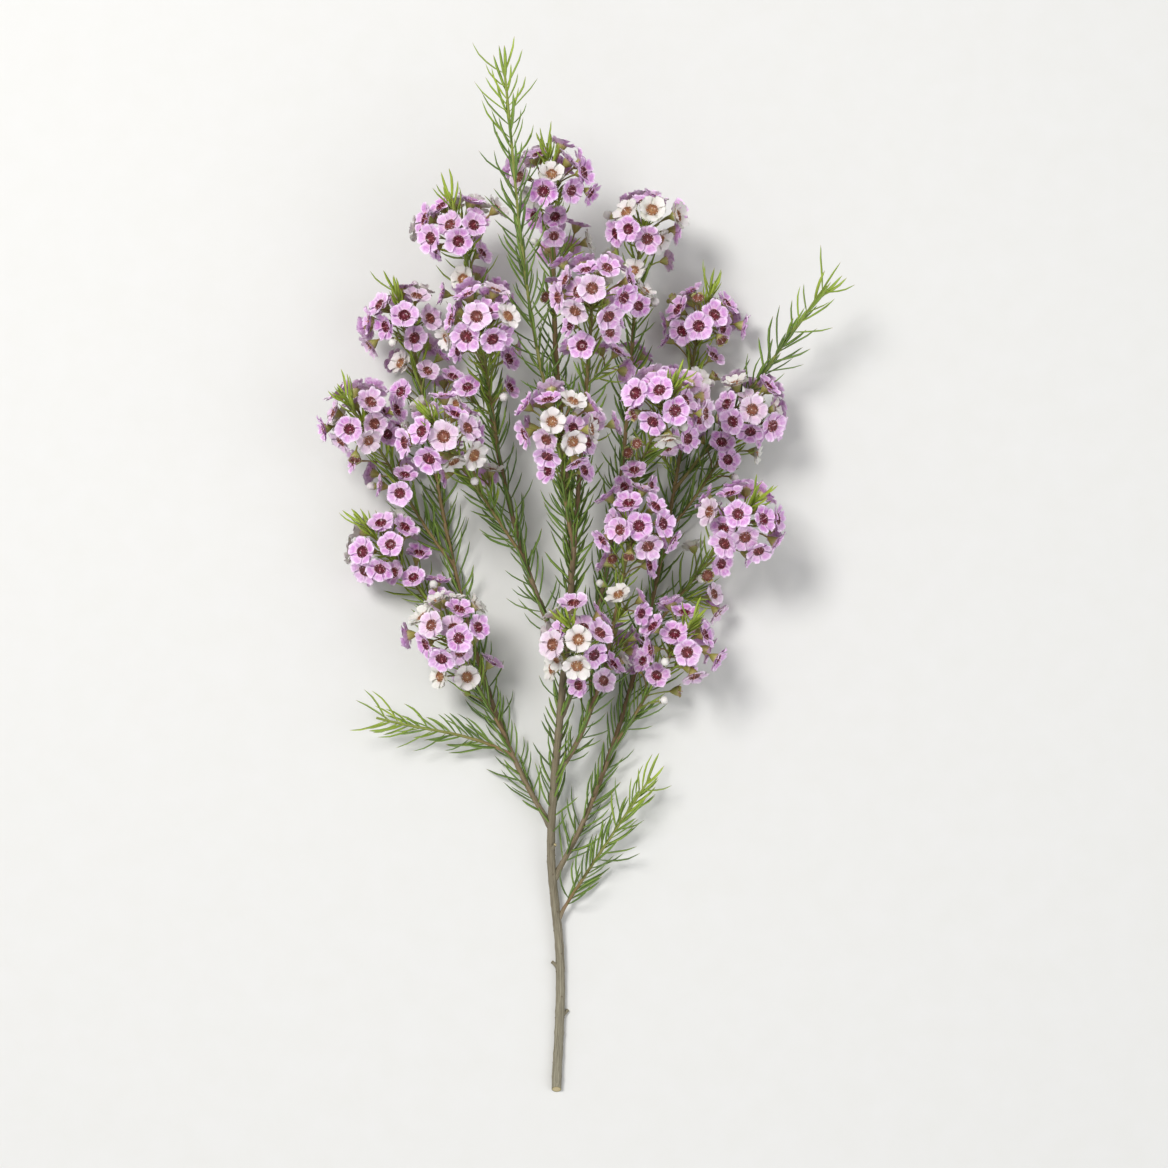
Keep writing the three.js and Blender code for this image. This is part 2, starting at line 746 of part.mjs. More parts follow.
function meshOf(name, { colour, solids, settled }) {
  const whole = wasm.Manifold.union(solids).asOriginal().simplify(SMALLEST_EDGE);
  const solid = settled ? whole.trimByPlane([0, 0, 1], 0) : whole;
  const { vertProperties, triVerts } = solid.getMesh();
  const geometry = new THREE.BufferGeometry();
  geometry.setAttribute('position', new THREE.BufferAttribute(vertProperties, 3));
  geometry.setIndex(new THREE.BufferAttribute(triVerts, 1));
  const material = new THREE.MeshStandardMaterial({ color: colour, roughness: 0.6, metalness: 0 });
  const mesh = new THREE.Mesh(geometry, material);
  mesh.name = name;
  return mesh;
}

const stem = new THREE.Group();
stem.name = 'waxflower_stem';
stem.position.copy(CUT_END);
for (const [name, node] of nodes) {
  stem.add(meshOf(name, node));
}

export default stem;
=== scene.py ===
"""Looks for the waxflower stem: smooth twigs with bark, dense needle leaves, and full flowers.

The growth rule below is the part's own, with the same sizes and the same seeded draws, so every
twig, leaf, flower and bud stands where its solid does. Each dome's flowers are then moved a few
millimetres, and more flowers, buds and leaves are added where they stay clear. Lengths in the rule
are millimetres in the stem's own frame. Meshes are written in metres in the shared frame.
"""

import itertools
import math
from types import SimpleNamespace as Record

import bpy
import numpy as np
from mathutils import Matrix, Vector


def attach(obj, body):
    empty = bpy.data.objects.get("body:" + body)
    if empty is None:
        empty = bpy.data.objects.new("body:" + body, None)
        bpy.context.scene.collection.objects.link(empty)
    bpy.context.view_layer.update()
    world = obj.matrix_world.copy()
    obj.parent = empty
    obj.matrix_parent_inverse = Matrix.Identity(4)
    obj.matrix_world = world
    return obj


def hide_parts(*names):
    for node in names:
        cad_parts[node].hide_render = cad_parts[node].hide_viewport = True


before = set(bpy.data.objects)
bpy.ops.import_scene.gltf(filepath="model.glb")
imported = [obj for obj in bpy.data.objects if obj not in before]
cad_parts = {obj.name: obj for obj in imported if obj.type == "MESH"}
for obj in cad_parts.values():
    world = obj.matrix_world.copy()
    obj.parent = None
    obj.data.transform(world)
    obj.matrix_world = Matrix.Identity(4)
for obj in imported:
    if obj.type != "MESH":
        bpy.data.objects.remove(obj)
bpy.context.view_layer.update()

# ---------- the part's own sizes: millimetres and degrees ----------

CUT_END = np.array([-14.7, -268.4, 0.0])
MAIN_AXIS = [
    [0, 0, 1.8], [2, 65, 2.9], [-3, 130, 9], [2, 200, 21], [8, 270, 33], [5, 330, 42], [0, 386, 50],
]
LAST_STRETCH = 24
WOODY_LENGTH = 216
CUT_SLANT = 35
TWIG_STUBS = [(38, 200), (64, 15), (128, 120)]
TWIG_STUB = Record(length=6, radius=0.9, angle=50)


def spray(middle, rise, flowers, buds, tuft=False, settled=False):
    middle = np.array(middle, float)
    return Record(middle=middle, rise=rise, flowers=flowers, buds=buds, tuft=tuft, settled=settled)


TOP_SPRAY = spray([-4, 486, 80], 46, 9, 1, tuft=True)
BRANCHES = [
    ("right_low", 112, spray([82, 424, 36], 34, 8, 1, tuft=True, settled=True), [
        (0.26, spray([70, 246, 50], 50, 7, 1, tuft=True)),
        (0.46, spray([102, 308, 60], 52, 9, 1, tuft=True)),
        (0.66, spray([110, 368, 44], 44, 8, 0)),
    ]),
    ("left_low", 140, spray([-84, 420, 40], 40, 7, 2, tuft=True), [
        (0.2, spray([-60, 250, 56], 54, 7, 1)),
        (0.38, spray([-100, 298, 32], 32, 7, 1, tuft=True, settled=True)),
        (0.56, spray([-108, 362, 56], 48, 9, 0, tuft=True)),
    ]),
    ("middle", 168, spray([44, 304, 78], 56, 7, 1), [
        (0.4, spray([8, 244, 70], 58, 6, 1, tuft=True)),
    ]),
    ("right_high", 200, spray([48, 468, 60], 42, 7, 1), [
        (0.42, spray([60, 364, 98], 56, 9, 1, tuft=True)),
    ]),
    ("left_high", 232, spray([-54, 464, 60], 42, 7, 0, tuft=True), [
        (0.25, spray([-62, 348, 92], 56, 9, 1, tuft=True)),
        (0.5, spray([-40, 408, 94], 52, 7, 1)),
    ]),
    ("top", 262, spray([20, 422, 108], 54, 8, 1), [
        (0.22, spray([0, 350, 112], 62, 9, 1)),
    ]),
]
SHOOTS = [
    ("low", "main", 90, [50, 166, 18]),
    ("left", "left_low", 0.16, [-96, 198, 20]),
    ("right", "right_low", 0.74, [142, 424, 54]),
    ("top", "main", 346, [-26, 526, 104]),
]
LEAF = Record(length=20, radius=0.58, angle=31)
YOUNG_LEAF = Record(length=15, radius=0.48, angle=21)
# For each kind of axis: its radii and its path's step, its wood's age at the foot and at the end,
# how far apart the solids' leaf pairs are and where the first one is, how many times closer the
# looks' pairs are and where they start, and how many sides its tube has.
MAIN = Record(radii=(2.6, 1.1), step=34, wood=(1.0, 0.2), pair_step=17, finer=4, leaf=LEAF)
BRANCH = Record(radii=(1.5, 0.9), step=32, wood=(0.62, 0.18), pair_step=17, bare=45, finer=5, lowest=9,
                sides=12, leaf=LEAF)
TWIG = Record(radii=(0.95, 0.75), step=24, wood=(0.32, 0.14), pair_step=12, bare=10, finer=4, lowest=9,
              sides=9, leaf=LEAF)
SHOOT = Record(radii=(0.95, 0.65), step=24, wood=(0.2, 0.0), pair_step=13, bare=10, finer=4, lowest=9,
               sides=9, leaf=LEAF)
TUFT = Record(radii=(0.65, 0.5), step=22, wood=(0.06, 0.0), pair_step=6, bare=8, finer=3, lowest=4,
              sides=8, leaf=YOUNG_LEAF, length=22)
WOODY_LEAVES = Record(bare=150, lowest=136)
LEADER_LEAVES = Record(bare=WOODY_LENGTH + 12, lowest=WOODY_LENGTH + 3)
AGE_FALL = 1.2
FORK_ANGLE = 37
FORK_PULL = 0.35
FOOT_PULL = 0.35
LONGEST_FOOT_PULL = 32
LOWEST_AXIS = 4
STEEPEST_LIFT = 0.95
RING_ROOM = 1
COLLAR_EXTRA = 0.8
GAP = 0.3
DOME_RADIUS = 22
RACHIS_BELOW = 10
RACHIS_ABOVE = 7.5
RACHIS_RADIUS = 0.95
SPIRAL_STEP = 7.4
GOLDEN_ANGLE = 137.508
OPEN_START = 1.9
CLOSED_START = 0.7
FACING_SPREAD = 1.4
PEDICEL_RADIUS = 0.5
PEDICEL_TOP = 4
PEDICEL_LOW = -8
BUD_SINK = 4
HEAD_SPREAD = Record(bearing=9, lean=2.5, depth=1.3)
PETALS = 5
CALYX_TOP = 4.0
CUP_FLOOR = 4.3
RIM = Record(radius=7.3, height=6.3, turn=17)
FLOWER_SIZE_SPREAD = 0.08
CALYX_ROD = 1.8
PETAL_ROD = 0.9
BUD = Record(calyx_top=3.2, ball_radius=2.3, ball_middle=5)
LEAF_SPREAD = Record(turn=14, angle=9, length=0.22)
LEAF_EASINGS = [1, 1.35, 0.7, 0.45]
ROOT_SHARE = 0.25
BARE_END = 3.5
YOUNG_STRETCH = 60
REST_DIP = 0.35
SURFACE_CLEARANCE = 1.0

# ---------- seeded random draws ----------

SEED_MODULUS = 2147483647
SEED_FACTOR = 16807
seeds = itertools.count(4021, 7919)


def new_draws():
    """The part's next run of draws: one call gives 0 to 1, and the other gives -1 to 1."""
    state = next(seeds)

    def draw():
        nonlocal state
        state = (state * SEED_FACTOR) % SEED_MODULUS
        return state / SEED_MODULUS

    draw()
    draw()
    return draw, lambda: 2 * draw() - 1


# ---------- points, directions and paths ----------

UP = np.array([0.0, 0.0, 1.0])
EAST = np.array([1.0, 0.0, 0.0])


def unit(vector):
    return vector / math.sqrt(vector @ vector)


def towards(start, end):
    return unit(end - start)


def across(along):
    """Two directions square to a direction and to each other."""
    guide = EAST if abs(along[2]) > STEEPEST_LIFT else UP
    side = unit(np.cross(guide, along))
    return side, np.cross(along, side)


def leaning(along, angle, turn):
    side, lift = across(along)
    outward = side * math.cos(turn) + lift * math.sin(turn)
    return along * math.cos(angle) + outward * math.sin(angle)


def ring_angles(sides):
    return np.arange(sides) * 2 * math.pi / sides


def ring_of(side, lift, angles):
    """Directions all round, at angles from one direction towards another."""
    return np.cos(angles)[:, None] * side + np.sin(angles)[:, None] * lift


def smooth_step(low, high, value):
    share = np.clip((value - low) / (high - low), 0, 1)
    return share * share * (3 - 2 * share)


def straight(start, end):
    return lambda t: start + (end - start) * t


def bezier(a, b, c, d):
    def at(t):
        s = 1 - t
        return a * s**3 + b * 3 * s * s * t + c * 3 * s * t * t + d * t**3

    return at


def catmull_rom(points):
    points = [np.array(p, float) for p in points]
    points = [2 * points[0] - points[1], *points, 2 * points[-1] - points[-2]]
    last = len(points) - 4

    def at(t):
        i = min(int(last * t + t), last)
        w = (last + 1) * t - i
        p0, p1, p2, p3 = points[i:i + 4]
        t0 = (p2 - p0) / 2
        t1 = (p3 - p1) / 2
        return p1 + t0 * w + (3 * (p2 - p1) - 2 * t0 - t1) * w**2 + (2 * (p1 - p2) + t0 + t1) * w**3

    return at


class Path:
    """A curve as the part's straight steps, and also as the smooth curve they stand for."""

    def __init__(self, curve, step):
        self.curve = curve
        self.count = max(2, math.ceil(np.linalg.norm(curve(0) - curve(1)) / step))
        self.points = [curve(i / self.count) for i in range(self.count + 1)]
        self.reach = [0.0]
        for start, end in zip(self.points, self.points[1:]):
            self.reach.append(self.reach[-1] + np.linalg.norm(end - start))
        self.length = self.reach[-1]

    def locate(self, distance):
        i = 0
        while i < self.count - 1 and self.reach[i + 1] < distance:
            i += 1
        return i, (distance - self.reach[i]) / (self.reach[i + 1] - self.reach[i])

    def at(self, distance):
        i, share = self.locate(distance)
        start, end = self.points[i], self.points[i + 1]
        return start + (end - start) * share, towards(start, end)

    def smooth(self, distance):
        i, share = self.locate(distance)
        t = min(max((i + share) / self.count, 0), 1)
        low, high = max(t - 0.002, 0), min(t + 0.002, 1)
        return self.curve(t), towards(self.curve(low), self.curve(high))

    def stations(self, start, end):
        return [start, *(r for r in self.reach if start + RING_ROOM < r < end - RING_ROOM), end]


def side_curve(bearer, distance, foot, heading):
    place, along = bearer.at(distance)
    reach = foot - place
    outward = unit(reach - along * (reach @ along))
    fork = math.radians(FORK_ANGLE)
    leaving = along * math.cos(fork) + outward * math.sin(fork)
    span = np.linalg.norm(reach)
    lowest_pull = (foot[2] - LOWEST_AXIS) / heading[2]
    first = place + leaving * span * FORK_PULL
    second = foot - heading * min(span * FOOT_PULL, LONGEST_FOOT_PULL, lowest_pull)
    first[2] = max(first[2], LOWEST_AXIS)
    return bezier(place, first, second, foot)


# ---------- the room that things take ----------


class Rods:
    """Straight rods for all that has grown. Leaves and added flowers have to stay clear of them."""

    def __init__(self, room=20000):
        self.count = 0
        self.starts = np.zeros((room, 3))
        self.ends = np.zeros((room, 3))
        self.radii = np.zeros(room)
        self.owners = np.zeros(room, int)
        self.stems = np.zeros(room, bool)
        self.numbers = {}

    def number(self, owner):
        return self.numbers.setdefault(owner, len(self.numbers))

    def fill(self, owner, start, end, radius, stem=False):
        i = self.count
        self.starts[i], self.ends[i], self.radii[i] = start, end, radius
        self.owners[i], self.stems[i] = self.number(owner), stem
        self.count += 1

    def fill_along(self, owner, path, start, end, radius):
        places = path.stations(start, end)
        for a, b in zip(places, places[1:]):
            self.fill(owner, path.at(a)[0], path.at(b)[0], radius, stem=True)

    def clear(self, start, end, radius, owner, gap=GAP, own_stems_only=False):
        """Whether a rod stays clear of the surface and of all rods that its owner doesn't hold."""
        if min(start[2], end[2]) < SURFACE_CLEARANCE:
            return False
        n = self.count
        along = end - start
        others = self.ends[:n] - self.starts[:n]
        offset = start - self.starts[:n]
        a = along @ along
        e = np.maximum((others * others).sum(1), 1e-12)
        f = (others * offset).sum(1)
        c = offset @ along
        b = others @ along
        bottom = a * e - b * b
        s = np.where(bottom > 0, np.clip((b * f - c * e) / np.where(bottom > 0, bottom, 1), 0, 1), 0)
        t = np.clip((b * s + f) / e, 0, 1)
        s = np.clip((b * t - c) / a, 0, 1)
        apart = offset + along * s[:, None] - others * t[:, None]
        room = np.sqrt((apart * apart).sum(1)) - self.radii[:n] - radius - gap
        skipped = self.owners[:n] == self.number(owner)
        if own_stems_only:
            skipped &= self.stems[:n]
        return bool((room[~skipped] > 0).all())


rods = Rods()

# ---------- the growth rule ----------


def on_head(head, height, radius=0, angle=0):
    """A place on a flower or bud: a height along its axis, and a radius out from it."""
    side, lift = across(head.axis)
    level = side * math.cos(angle) + lift * math.sin(angle)
    return head.foot + head.size * (head.axis * height + level * radius)


def petal_corners(head):
    angles = [
        (i + 0.5) * 2 * math.pi / PETALS + side * math.radians(RIM.turn) + head.turn
        for i in range(PETALS) for side in (-1, 1)
    ]
    return [on_head(head, RIM.height, RIM.radius, angle) for angle in angles]


def head_rods(head):
    """The rods that stand for a flower or a bud: (start, end, radius)."""
    if head.is_bud:
        return [(on_head(head, BUD.calyx_top), on_head(head, BUD.ball_middle), BUD.ball_radius)]
    calyx = (on_head(head, CALYX_ROD), on_head(head, CALYX_TOP), CALYX_ROD)
    floor = on_head(head, CUP_FLOOR)
    return [calyx, *((floor, corner, PETAL_ROD) for corner in petal_corners(head))]


def fill_head(name, head):
    head.first_rod = rods.count
    rods.fill(name, head.root, head.foot, PEDICEL_RADIUS)
    for rod in head_rods(head):
        rods.fill(name, *rod)
    head.last_rod = rods.count


def lay_out_spray(name, form, start):
    """A dome of flowers and buds, set in a spiral round its heading, and the foot of its rachis."""
    draw, wobble = new_draws()
    level = form.middle - start
    level[2] = 0
    rise = math.radians(form.rise)
    heading = unit(level) * math.cos(rise) + UP * math.sin(rise)
    hub = form.middle - heading * DOME_RADIUS
    count = form.flowers + form.buds
    first = OPEN_START if form.tuft else CLOSED_START
    turn = draw() * 2 * math.pi
    heads = []
    for i in range(count):
        head = Record(is_bud=i >= form.flowers, leave=heading)
        head.size = 1 + FLOWER_SIZE_SPREAD * wobble()
        head.turn = draw() * 2 * math.pi
        lean = math.radians(HEAD_SPREAD.lean) * wobble()
        spread = (SPIRAL_STEP / DOME_RADIUS) * math.sqrt(i + first) + lean
        bearing = turn + i * math.radians(GOLDEN_ANGLE) + math.radians(HEAD_SPREAD.bearing) * wobble()
        sink = HEAD_SPREAD.depth * wobble() + (BUD_SINK if head.is_bud else 0)
        head.axis = leaning(heading, spread * FACING_SPREAD, bearing)
        head.foot = hub + leaning(heading, spread, bearing) * (DOME_RADIUS - RIM.height - sink)
        head.root = hub + heading * (PEDICEL_TOP + (PEDICEL_LOW - PEDICEL_TOP) * i / (count - 1))
        heads.append(head)
    lowest = min(corner[2] for head in heads for corner in petal_corners(head))
    shift = -REST_DIP - lowest if form.settled else max(0, GAP - lowest)
    for place in [hub, *(head.foot for head in heads), *(head.root for head in heads)]:
        place[2] += shift
    return Record(name=name, form=form, heading=heading, hub=hub, heads=heads, groups=[],
                  foot=hub - heading * RACHIS_BELOW)


def radius_on(axis, distance):
    foot, end = axis.kind.radii
    return foot + (end - foot) * (distance / axis.path.length)


def age_on(axis, distance):
    """The wood's age, from 1 for grey bark to 0 for a green shoot."""
    oldest, youngest = axis.kind.wood
    return oldest + (youngest - oldest) * (distance / axis.path.length) ** AGE_FALL


top_spray = lay_out_spray("spray_top", TOP_SPRAY, MAIN_AXIS[-3])
last_bend = top_spray.foot - top_spray.heading * LAST_STRETCH
main_path = Path(catmull_rom([*MAIN_AXIS, last_bend, top_spray.foot]), MAIN.step)
main = Record(path=main_path, kind=MAIN, fork=None)
top_spray.bearer = main
rods.fill_along("woody_stem", main.path, 0, WOODY_LENGTH, MAIN.radii[0])
rods.fill_along("leader", main.path, WOODY_LENGTH + GAP, main.path.length, radius_on(main, WOODY_LENGTH))


def grow_axis(name, bearer, distance, foot, heading, kind):
    """A side axis. It leaves its bearer at a distance along it, and ends at foot, along heading."""
    path = Path(side_curve(bearer.path, distance, foot, heading), kind.step)
    fork = Record(radius=radius_on(bearer, distance), along=bearer.path.at(distance)[1],
                  age=age_on(bearer, distance))
    angle = math.acos(float(np.clip(path.at(0)[1] @ fork.along, -1, 1)))
    collar = (fork.radius + kind.radii[0] + GAP) / math.sin(angle) + COLLAR_EXTRA
    if bearer is main:
        bearer_name = "woody_stem" if distance < WOODY_LENGTH else "leader"
    else:
        bearer_name = bearer.name
    rods.fill_along(bearer_name, path, 0, collar, kind.radii[0])
    rods.fill_along(name, path, collar + GAP, path.length, kind.radii[0])
    axes.append(Record(name=name, path=path, kind=kind, fork=fork))
    return axes[-1]


def grow_with_spray(name, spray_name, form, bearer, distance, kind):
    """A side axis with a spray at its end."""
    layout = lay_out_spray(spray_name, form, bearer.path.at(distance)[0])
    layout.bearer = grow_axis(name, bearer, distance, layout.foot, layout.heading, kind)
    sprays.append(layout)
    return layout.bearer


axes = []
sprays = [top_spray]
bearers = {"main": main}
for name, start, form, twigs in BRANCHES:
    branch = grow_with_spray(f"branch_{name}", f"spray_{name}_end", form, main, start, BRANCH)
    bearers[name] = branch
    for i, (share, form) in enumerate(twigs, 1):
        distance = share * branch.path.length
        grow_with_spray(f"twig_{name}_{i}", f"spray_{name}_{i}", form, branch, distance, TWIG)
for name, on, at, tip in SHOOTS:
    bearer, tip = bearers[on], np.array(tip, float)
    distance = at if bearer is main else at * bearer.path.length
    heading = towards(bearer.path.at(distance)[0], tip)
    grow_axis(f"shoot_{name}", bearer, distance, tip, heading, SHOOT)

for layout in sprays:
    foot = layout.foot + layout.heading * GAP
    top = layout.hub + layout.heading * RACHIS_ABOVE
    rods.fill(layout.name, foot, top, RACHIS_RADIUS, stem=True)
    for head in layout.heads:
        fill_head(layout.name, head)

tufts = []
for layout in sprays:
    if layout.form.tuft:
        foot = layout.hub + layout.heading * (RACHIS_ABOVE + GAP)
        path = Path(straight(foot, foot + layout.heading * TUFT.length), TUFT.step)
        name = layout.name.replace("spray", "tuft")
        rods.fill_along(name, path, 0, path.length, TUFT.radii[0])
        tufts.append(Record(name=name, path=path, kind=TUFT, fork=None))

# Each leaf is (node, root on the smooth twig, tip, the twig's direction, youth).
leaves = []


def leafy(node, axis, leaf_range, last):
    """A stretch with leaves: the solids' from bare to last, and the looks' own from lowest on."""
    return Record(node=node, path=axis.path, kind=axis.kind, bare=leaf_range.bare,
                  lowest=leaf_range.lowest, last=last)


def youth_at(path, distance):
    return float(smooth_step(YOUNG_STRETCH, 0, path.length - distance))


def add_pairs(stretch):
    """The solids' leaf pairs, a quarter turn from each to the next, without those that have no room."""
    draw, wobble = new_draws()
    leaf = stretch.kind.leaf
    turn = stretch.turn = draw() * math.pi
    distance = stretch.bare
    own = []
    while distance <= stretch.last - BARE_END:
        place, along = stretch.path.at(distance)
        root = stretch.path.smooth(distance)[0]
        for half in (0, math.pi):
            leaf_turn = turn + half + math.radians(LEAF_SPREAD.turn) * wobble()
            angle = math.radians(leaf.angle + LEAF_SPREAD.angle * wobble())
            length = leaf.length * (1 + LEAF_SPREAD.length * wobble())
            for easing in LEAF_EASINGS:
                tip = place + leaning(along, angle * easing, leaf_turn) * length
                start = place + (tip - place) * ROOT_SHARE
                if rods.clear(start, tip, leaf.radius, stretch.node):
                    own.append((start, tip))
                    youth = youth_at(stretch.path, distance)
                    leaves.append((stretch.node, root, tip + (root - place), along, youth))
                    break
        turn += math.pi / 2
        distance += stretch.kind.pair_step
    for start, tip in own:
        rods.fill(stretch.node, start, tip, leaf.radius)


stretches = [leafy(axis.name, axis, axis.kind, axis.path.length) for axis in tufts + axes]
stretches.append(leafy("woody_stem", main, WOODY_LEAVES, WOODY_LENGTH))
stretches.append(leafy("leader", main, LEADER_LEAVES, main.path.length))
for stretch in stretches:
    add_pairs(stretch)
solid_leaf_count = len(leaves)

# ---------- more flowers than the solids hold, in each dome's gaps and round its foot ----------

rng = np.random.default_rng(20817)
TOUCH = -0.5
FACING_JITTER = 0.13
NEVER_IN_THE_WAY = -1000
LOOSEN = Record(tries=8, reach=(-2.2, 4.6), aside=0.7)
# reaches: how far beyond the outermost solid flower each added one may stand, in radians.
FILL = Record(
    reaches=(0.02, 0.02, 0.02, 0.02, 0.02, 0.12, 0.2), sinks=(-4.0, -2.4, -0.8, 0.8, 2.4, 4.0, 5.2),
    places=240, tried=24, nearest=6.2, smallest=0.76, growth=0.05, steepest=1.8, root_drop=12,
    tuft_room=0.34,
)
AXIL = Record(
    heads=7, tries=220, down=(0, 13), apart=4.5, lean=(32, 58), facing=(50, 72), size=(0.84, 0.98),
    stalk=(10, 17), room=7, bud_room=5,
)
GROUP = Record(
    places=(34, 62), lowest=34, tries=60, down=(0, 14), angle=(34, 52), stalk=(11, 17), radius=0.55,
    free_from=0.4, head_tries=24, fewest=3, most=4, lean=(26, 50), facing=1.2, size=(0.82, 0.96),
    pedicel=(4.5, 9.0),
)


def any_turn():
    return rng.uniform(0, 2 * math.pi)


def drawn_angle(low, high):
    return math.radians(rng.uniform(low, high))


def turned_a_little(axis):
    return unit(axis + rng.normal(0, FACING_JITTER, 3))


def fits(name, head):
    """Whether a flower or bud stays clear of all others, with petals that may just touch."""
    return all(rods.clear(*rod, name, gap=TOUCH, own_stems_only=True) for rod in head_rods(head))


def add_head(layout, head):
    """Adds a flower or bud to a spray if it fits there."""
    if not fits(layout.name, head):
        return False
    layout.heads.append(head)
    fill_head(layout.name, head)
    return True


def loosen_dome(layout):
    """Moves the solids' flowers a little out, in or aside, so that a dome's outline isn't even."""
    for head in layout.heads:
        own = slice(head.first_rod, head.last_rod)
        kept_radii = rods.radii[own].copy()
        rods.radii[own] = NEVER_IN_THE_WAY
        for attempt in range(LOOSEN.tries):
            shift = head.axis * rng.uniform(*LOOSEN.reach) + rng.normal(0, LOOSEN.aside, 3)
            moved = Record(**vars(head))
            moved.foot, moved.axis = head.foot + shift, turned_a_little(head.axis)
            if fits(layout.name, moved):
                rods.count, last = head.first_rod, rods.count
                fill_head(layout.name, moved)
                rods.count = last
                head.foot, head.axis = moved.foot, moved.axis
                break
        else:
            rods.radii[own] = kept_radii


def fill_dome(layout):
    """Flowers where a dome has most room, smaller where there is less, and as deep as they fit."""
    hub, heading = layout.hub, layout.heading
    side, lift = across(heading)
    outermost = max(math.acos(towards(hub, head.foot) @ heading) for head in layout.heads)
    narrowest = FILL.tuft_room if layout.form.tuft else 0
    for reach in FILL.reaches:
        widest = outermost + reach
        spread = np.sqrt(rng.uniform(narrowest**2, widest**2, FILL.places))
        bearing = rng.uniform(0, 2 * math.pi, FILL.places)
        level = ring_of(side, lift, bearing)
        outward = np.cos(spread)[:, None] * heading + np.sin(spread)[:, None] * level
        taken = np.array([on_head(head, RIM.height) for head in layout.heads])
        room = np.linalg.norm((hub + outward * DOME_RADIUS)[:, None] - taken, axis=2).min(1)
        roomiest = [k for k in np.argsort(-room)[:FILL.tried] if room[k] >= FILL.nearest]
        for k, sink in ((k, sink) for k in roomiest for sink in rng.permutation(FILL.sinks)):
            facing = leaning(heading, min(spread[k] * FACING_SPREAD, FILL.steepest), bearing[k])
            head = Record(
                is_bud=False,
                size=min(FILL.smallest + (room[k] - FILL.nearest) * FILL.growth, 1.0),
                turn=any_turn(),
                axis=turned_a_little(facing),
                foot=hub + outward[k] * (DOME_RADIUS - RIM.height - sink),
                root=hub + heading * (PEDICEL_TOP - FILL.root_drop * spread[k] / widest),
                leave=heading,
            )
            if add_head(layout, head):
                break


def add_axil_heads(layout):
    """Flowers and a bud below the dome, each on a stalk from the twig that bears it."""
    path, added = layout.bearer.path, 0
    for attempt in range(AXIL.tries):
        root, along = path.smooth(path.length - (rng.uniform(*AXIL.down) + AXIL.apart * added))
        turn = any_turn()
        stalk = leaning(along, drawn_angle(*AXIL.lean), turn)
        head = Record(
            is_bud=added == AXIL.heads - 1,
            size=rng.uniform(*AXIL.size),
            turn=any_turn(),
            axis=turned_a_little(leaning(along, drawn_angle(*AXIL.facing), turn)),
            foot=root + stalk * rng.uniform(*AXIL.stalk),
            root=root,
            leave=layout.heading,
        )
        middle = on_head(head, RIM.height)
        near = min(np.linalg.norm(middle - on_head(other, RIM.height)) for other in layout.heads)
        if near > (AXIL.bud_room if head.is_bud else AXIL.room) and add_head(layout, head):
            added += 1
            if added == AXIL.heads:
                return


def add_side_group(layout, down):
    """Three or four flowers on a short side stalk, further down the twig that bears the dome."""
    name, path = layout.name, layout.bearer.path
    if path.length - down < GROUP.lowest:
        return
    for attempt in range(GROUP.tries):
        root, along = path.smooth(path.length - down - rng.uniform(*GROUP.down))
        stalk = leaning(along, drawn_angle(*GROUP.angle), any_turn())
        knot = root + stalk * rng.uniform(*GROUP.stalk)
        if not rods.clear(root + (knot - root) * GROUP.free_from, knot, GROUP.radius, name):
            continue
        first = any_turn()
        rods_before, heads_before = rods.count, len(layout.heads)
        rods.fill(name, root, knot, GROUP.radius, stem=True)
        for k in range(GROUP.head_tries):
            bearing = first + k * math.radians(GOLDEN_ANGLE)
            lean = drawn_angle(*GROUP.lean)
            head = Record(
                is_bud=False,
                size=rng.uniform(*GROUP.size),
                turn=any_turn(),
                axis=leaning(stalk, lean * GROUP.facing, bearing),
                foot=knot + leaning(stalk, lean, bearing) * rng.uniform(*GROUP.pedicel),
                root=knot,
                leave=stalk,
            )
            if add_head(layout, head) and len(layout.heads) == heads_before + GROUP.most:
                break
        if len(layout.heads) >= heads_before + GROUP.fewest:
            layout.groups.append((root, knot))
            return
        rods.count = rods_before
        del layout.heads[heads_before:]


for layout in sprays:
    loosen_dome(layout)
    fill_dome(layout)
    add_axil_heads(layout)
for down in GROUP.places:
    for layout in sprays:
        add_side_group(layout, down)

# ---------- more leaves than the solids hold ----------

# In each: the share of a leaf's length that may be hidden among others, its rod's radius, how many
# tries it has, how much straighter and shorter each next try is, and the ranges of its draws.
BETWEEN = Record(hidden=0.3, radius=0.45, tries=5, straighter=0.12, shorter=0.08,
                 angle=(-8, 22), length=(0.72, 1.25), turn=0.3, place=(-0.5, 0.5), bare_end=1.5)
ON_RACHIS = Record(hidden=0.45, radius=0.35, tries=4, shorter=0.12,
                   angle=(14, 62), length=(9, 18), turn=0.5, count=34, low=-9, above=8, youth=0.9)
ON_STALK = Record(hidden=0.4, radius=0.35,
                  angle=(16, 50), length=(9, 16), count=12, low=0.2, youth=0.8)
LEAF_TURN = 2.4
EXTRA_GAP = 0.05


def place_leaf(node, root, reach, along, kind, youth):
    """Adds a leaf if the free part of it stays clear."""
    tip = root + reach
    start = root + (tip - root) * kind.hidden
    is_clear = rods.clear(start, tip, kind.radius, node, gap=EXTRA_GAP, own_stems_only=True)
    if is_clear:
        rods.fill(node, start, tip, kind.radius)
        leaves.append((node, root, tip, along, youth))
    return is_clear


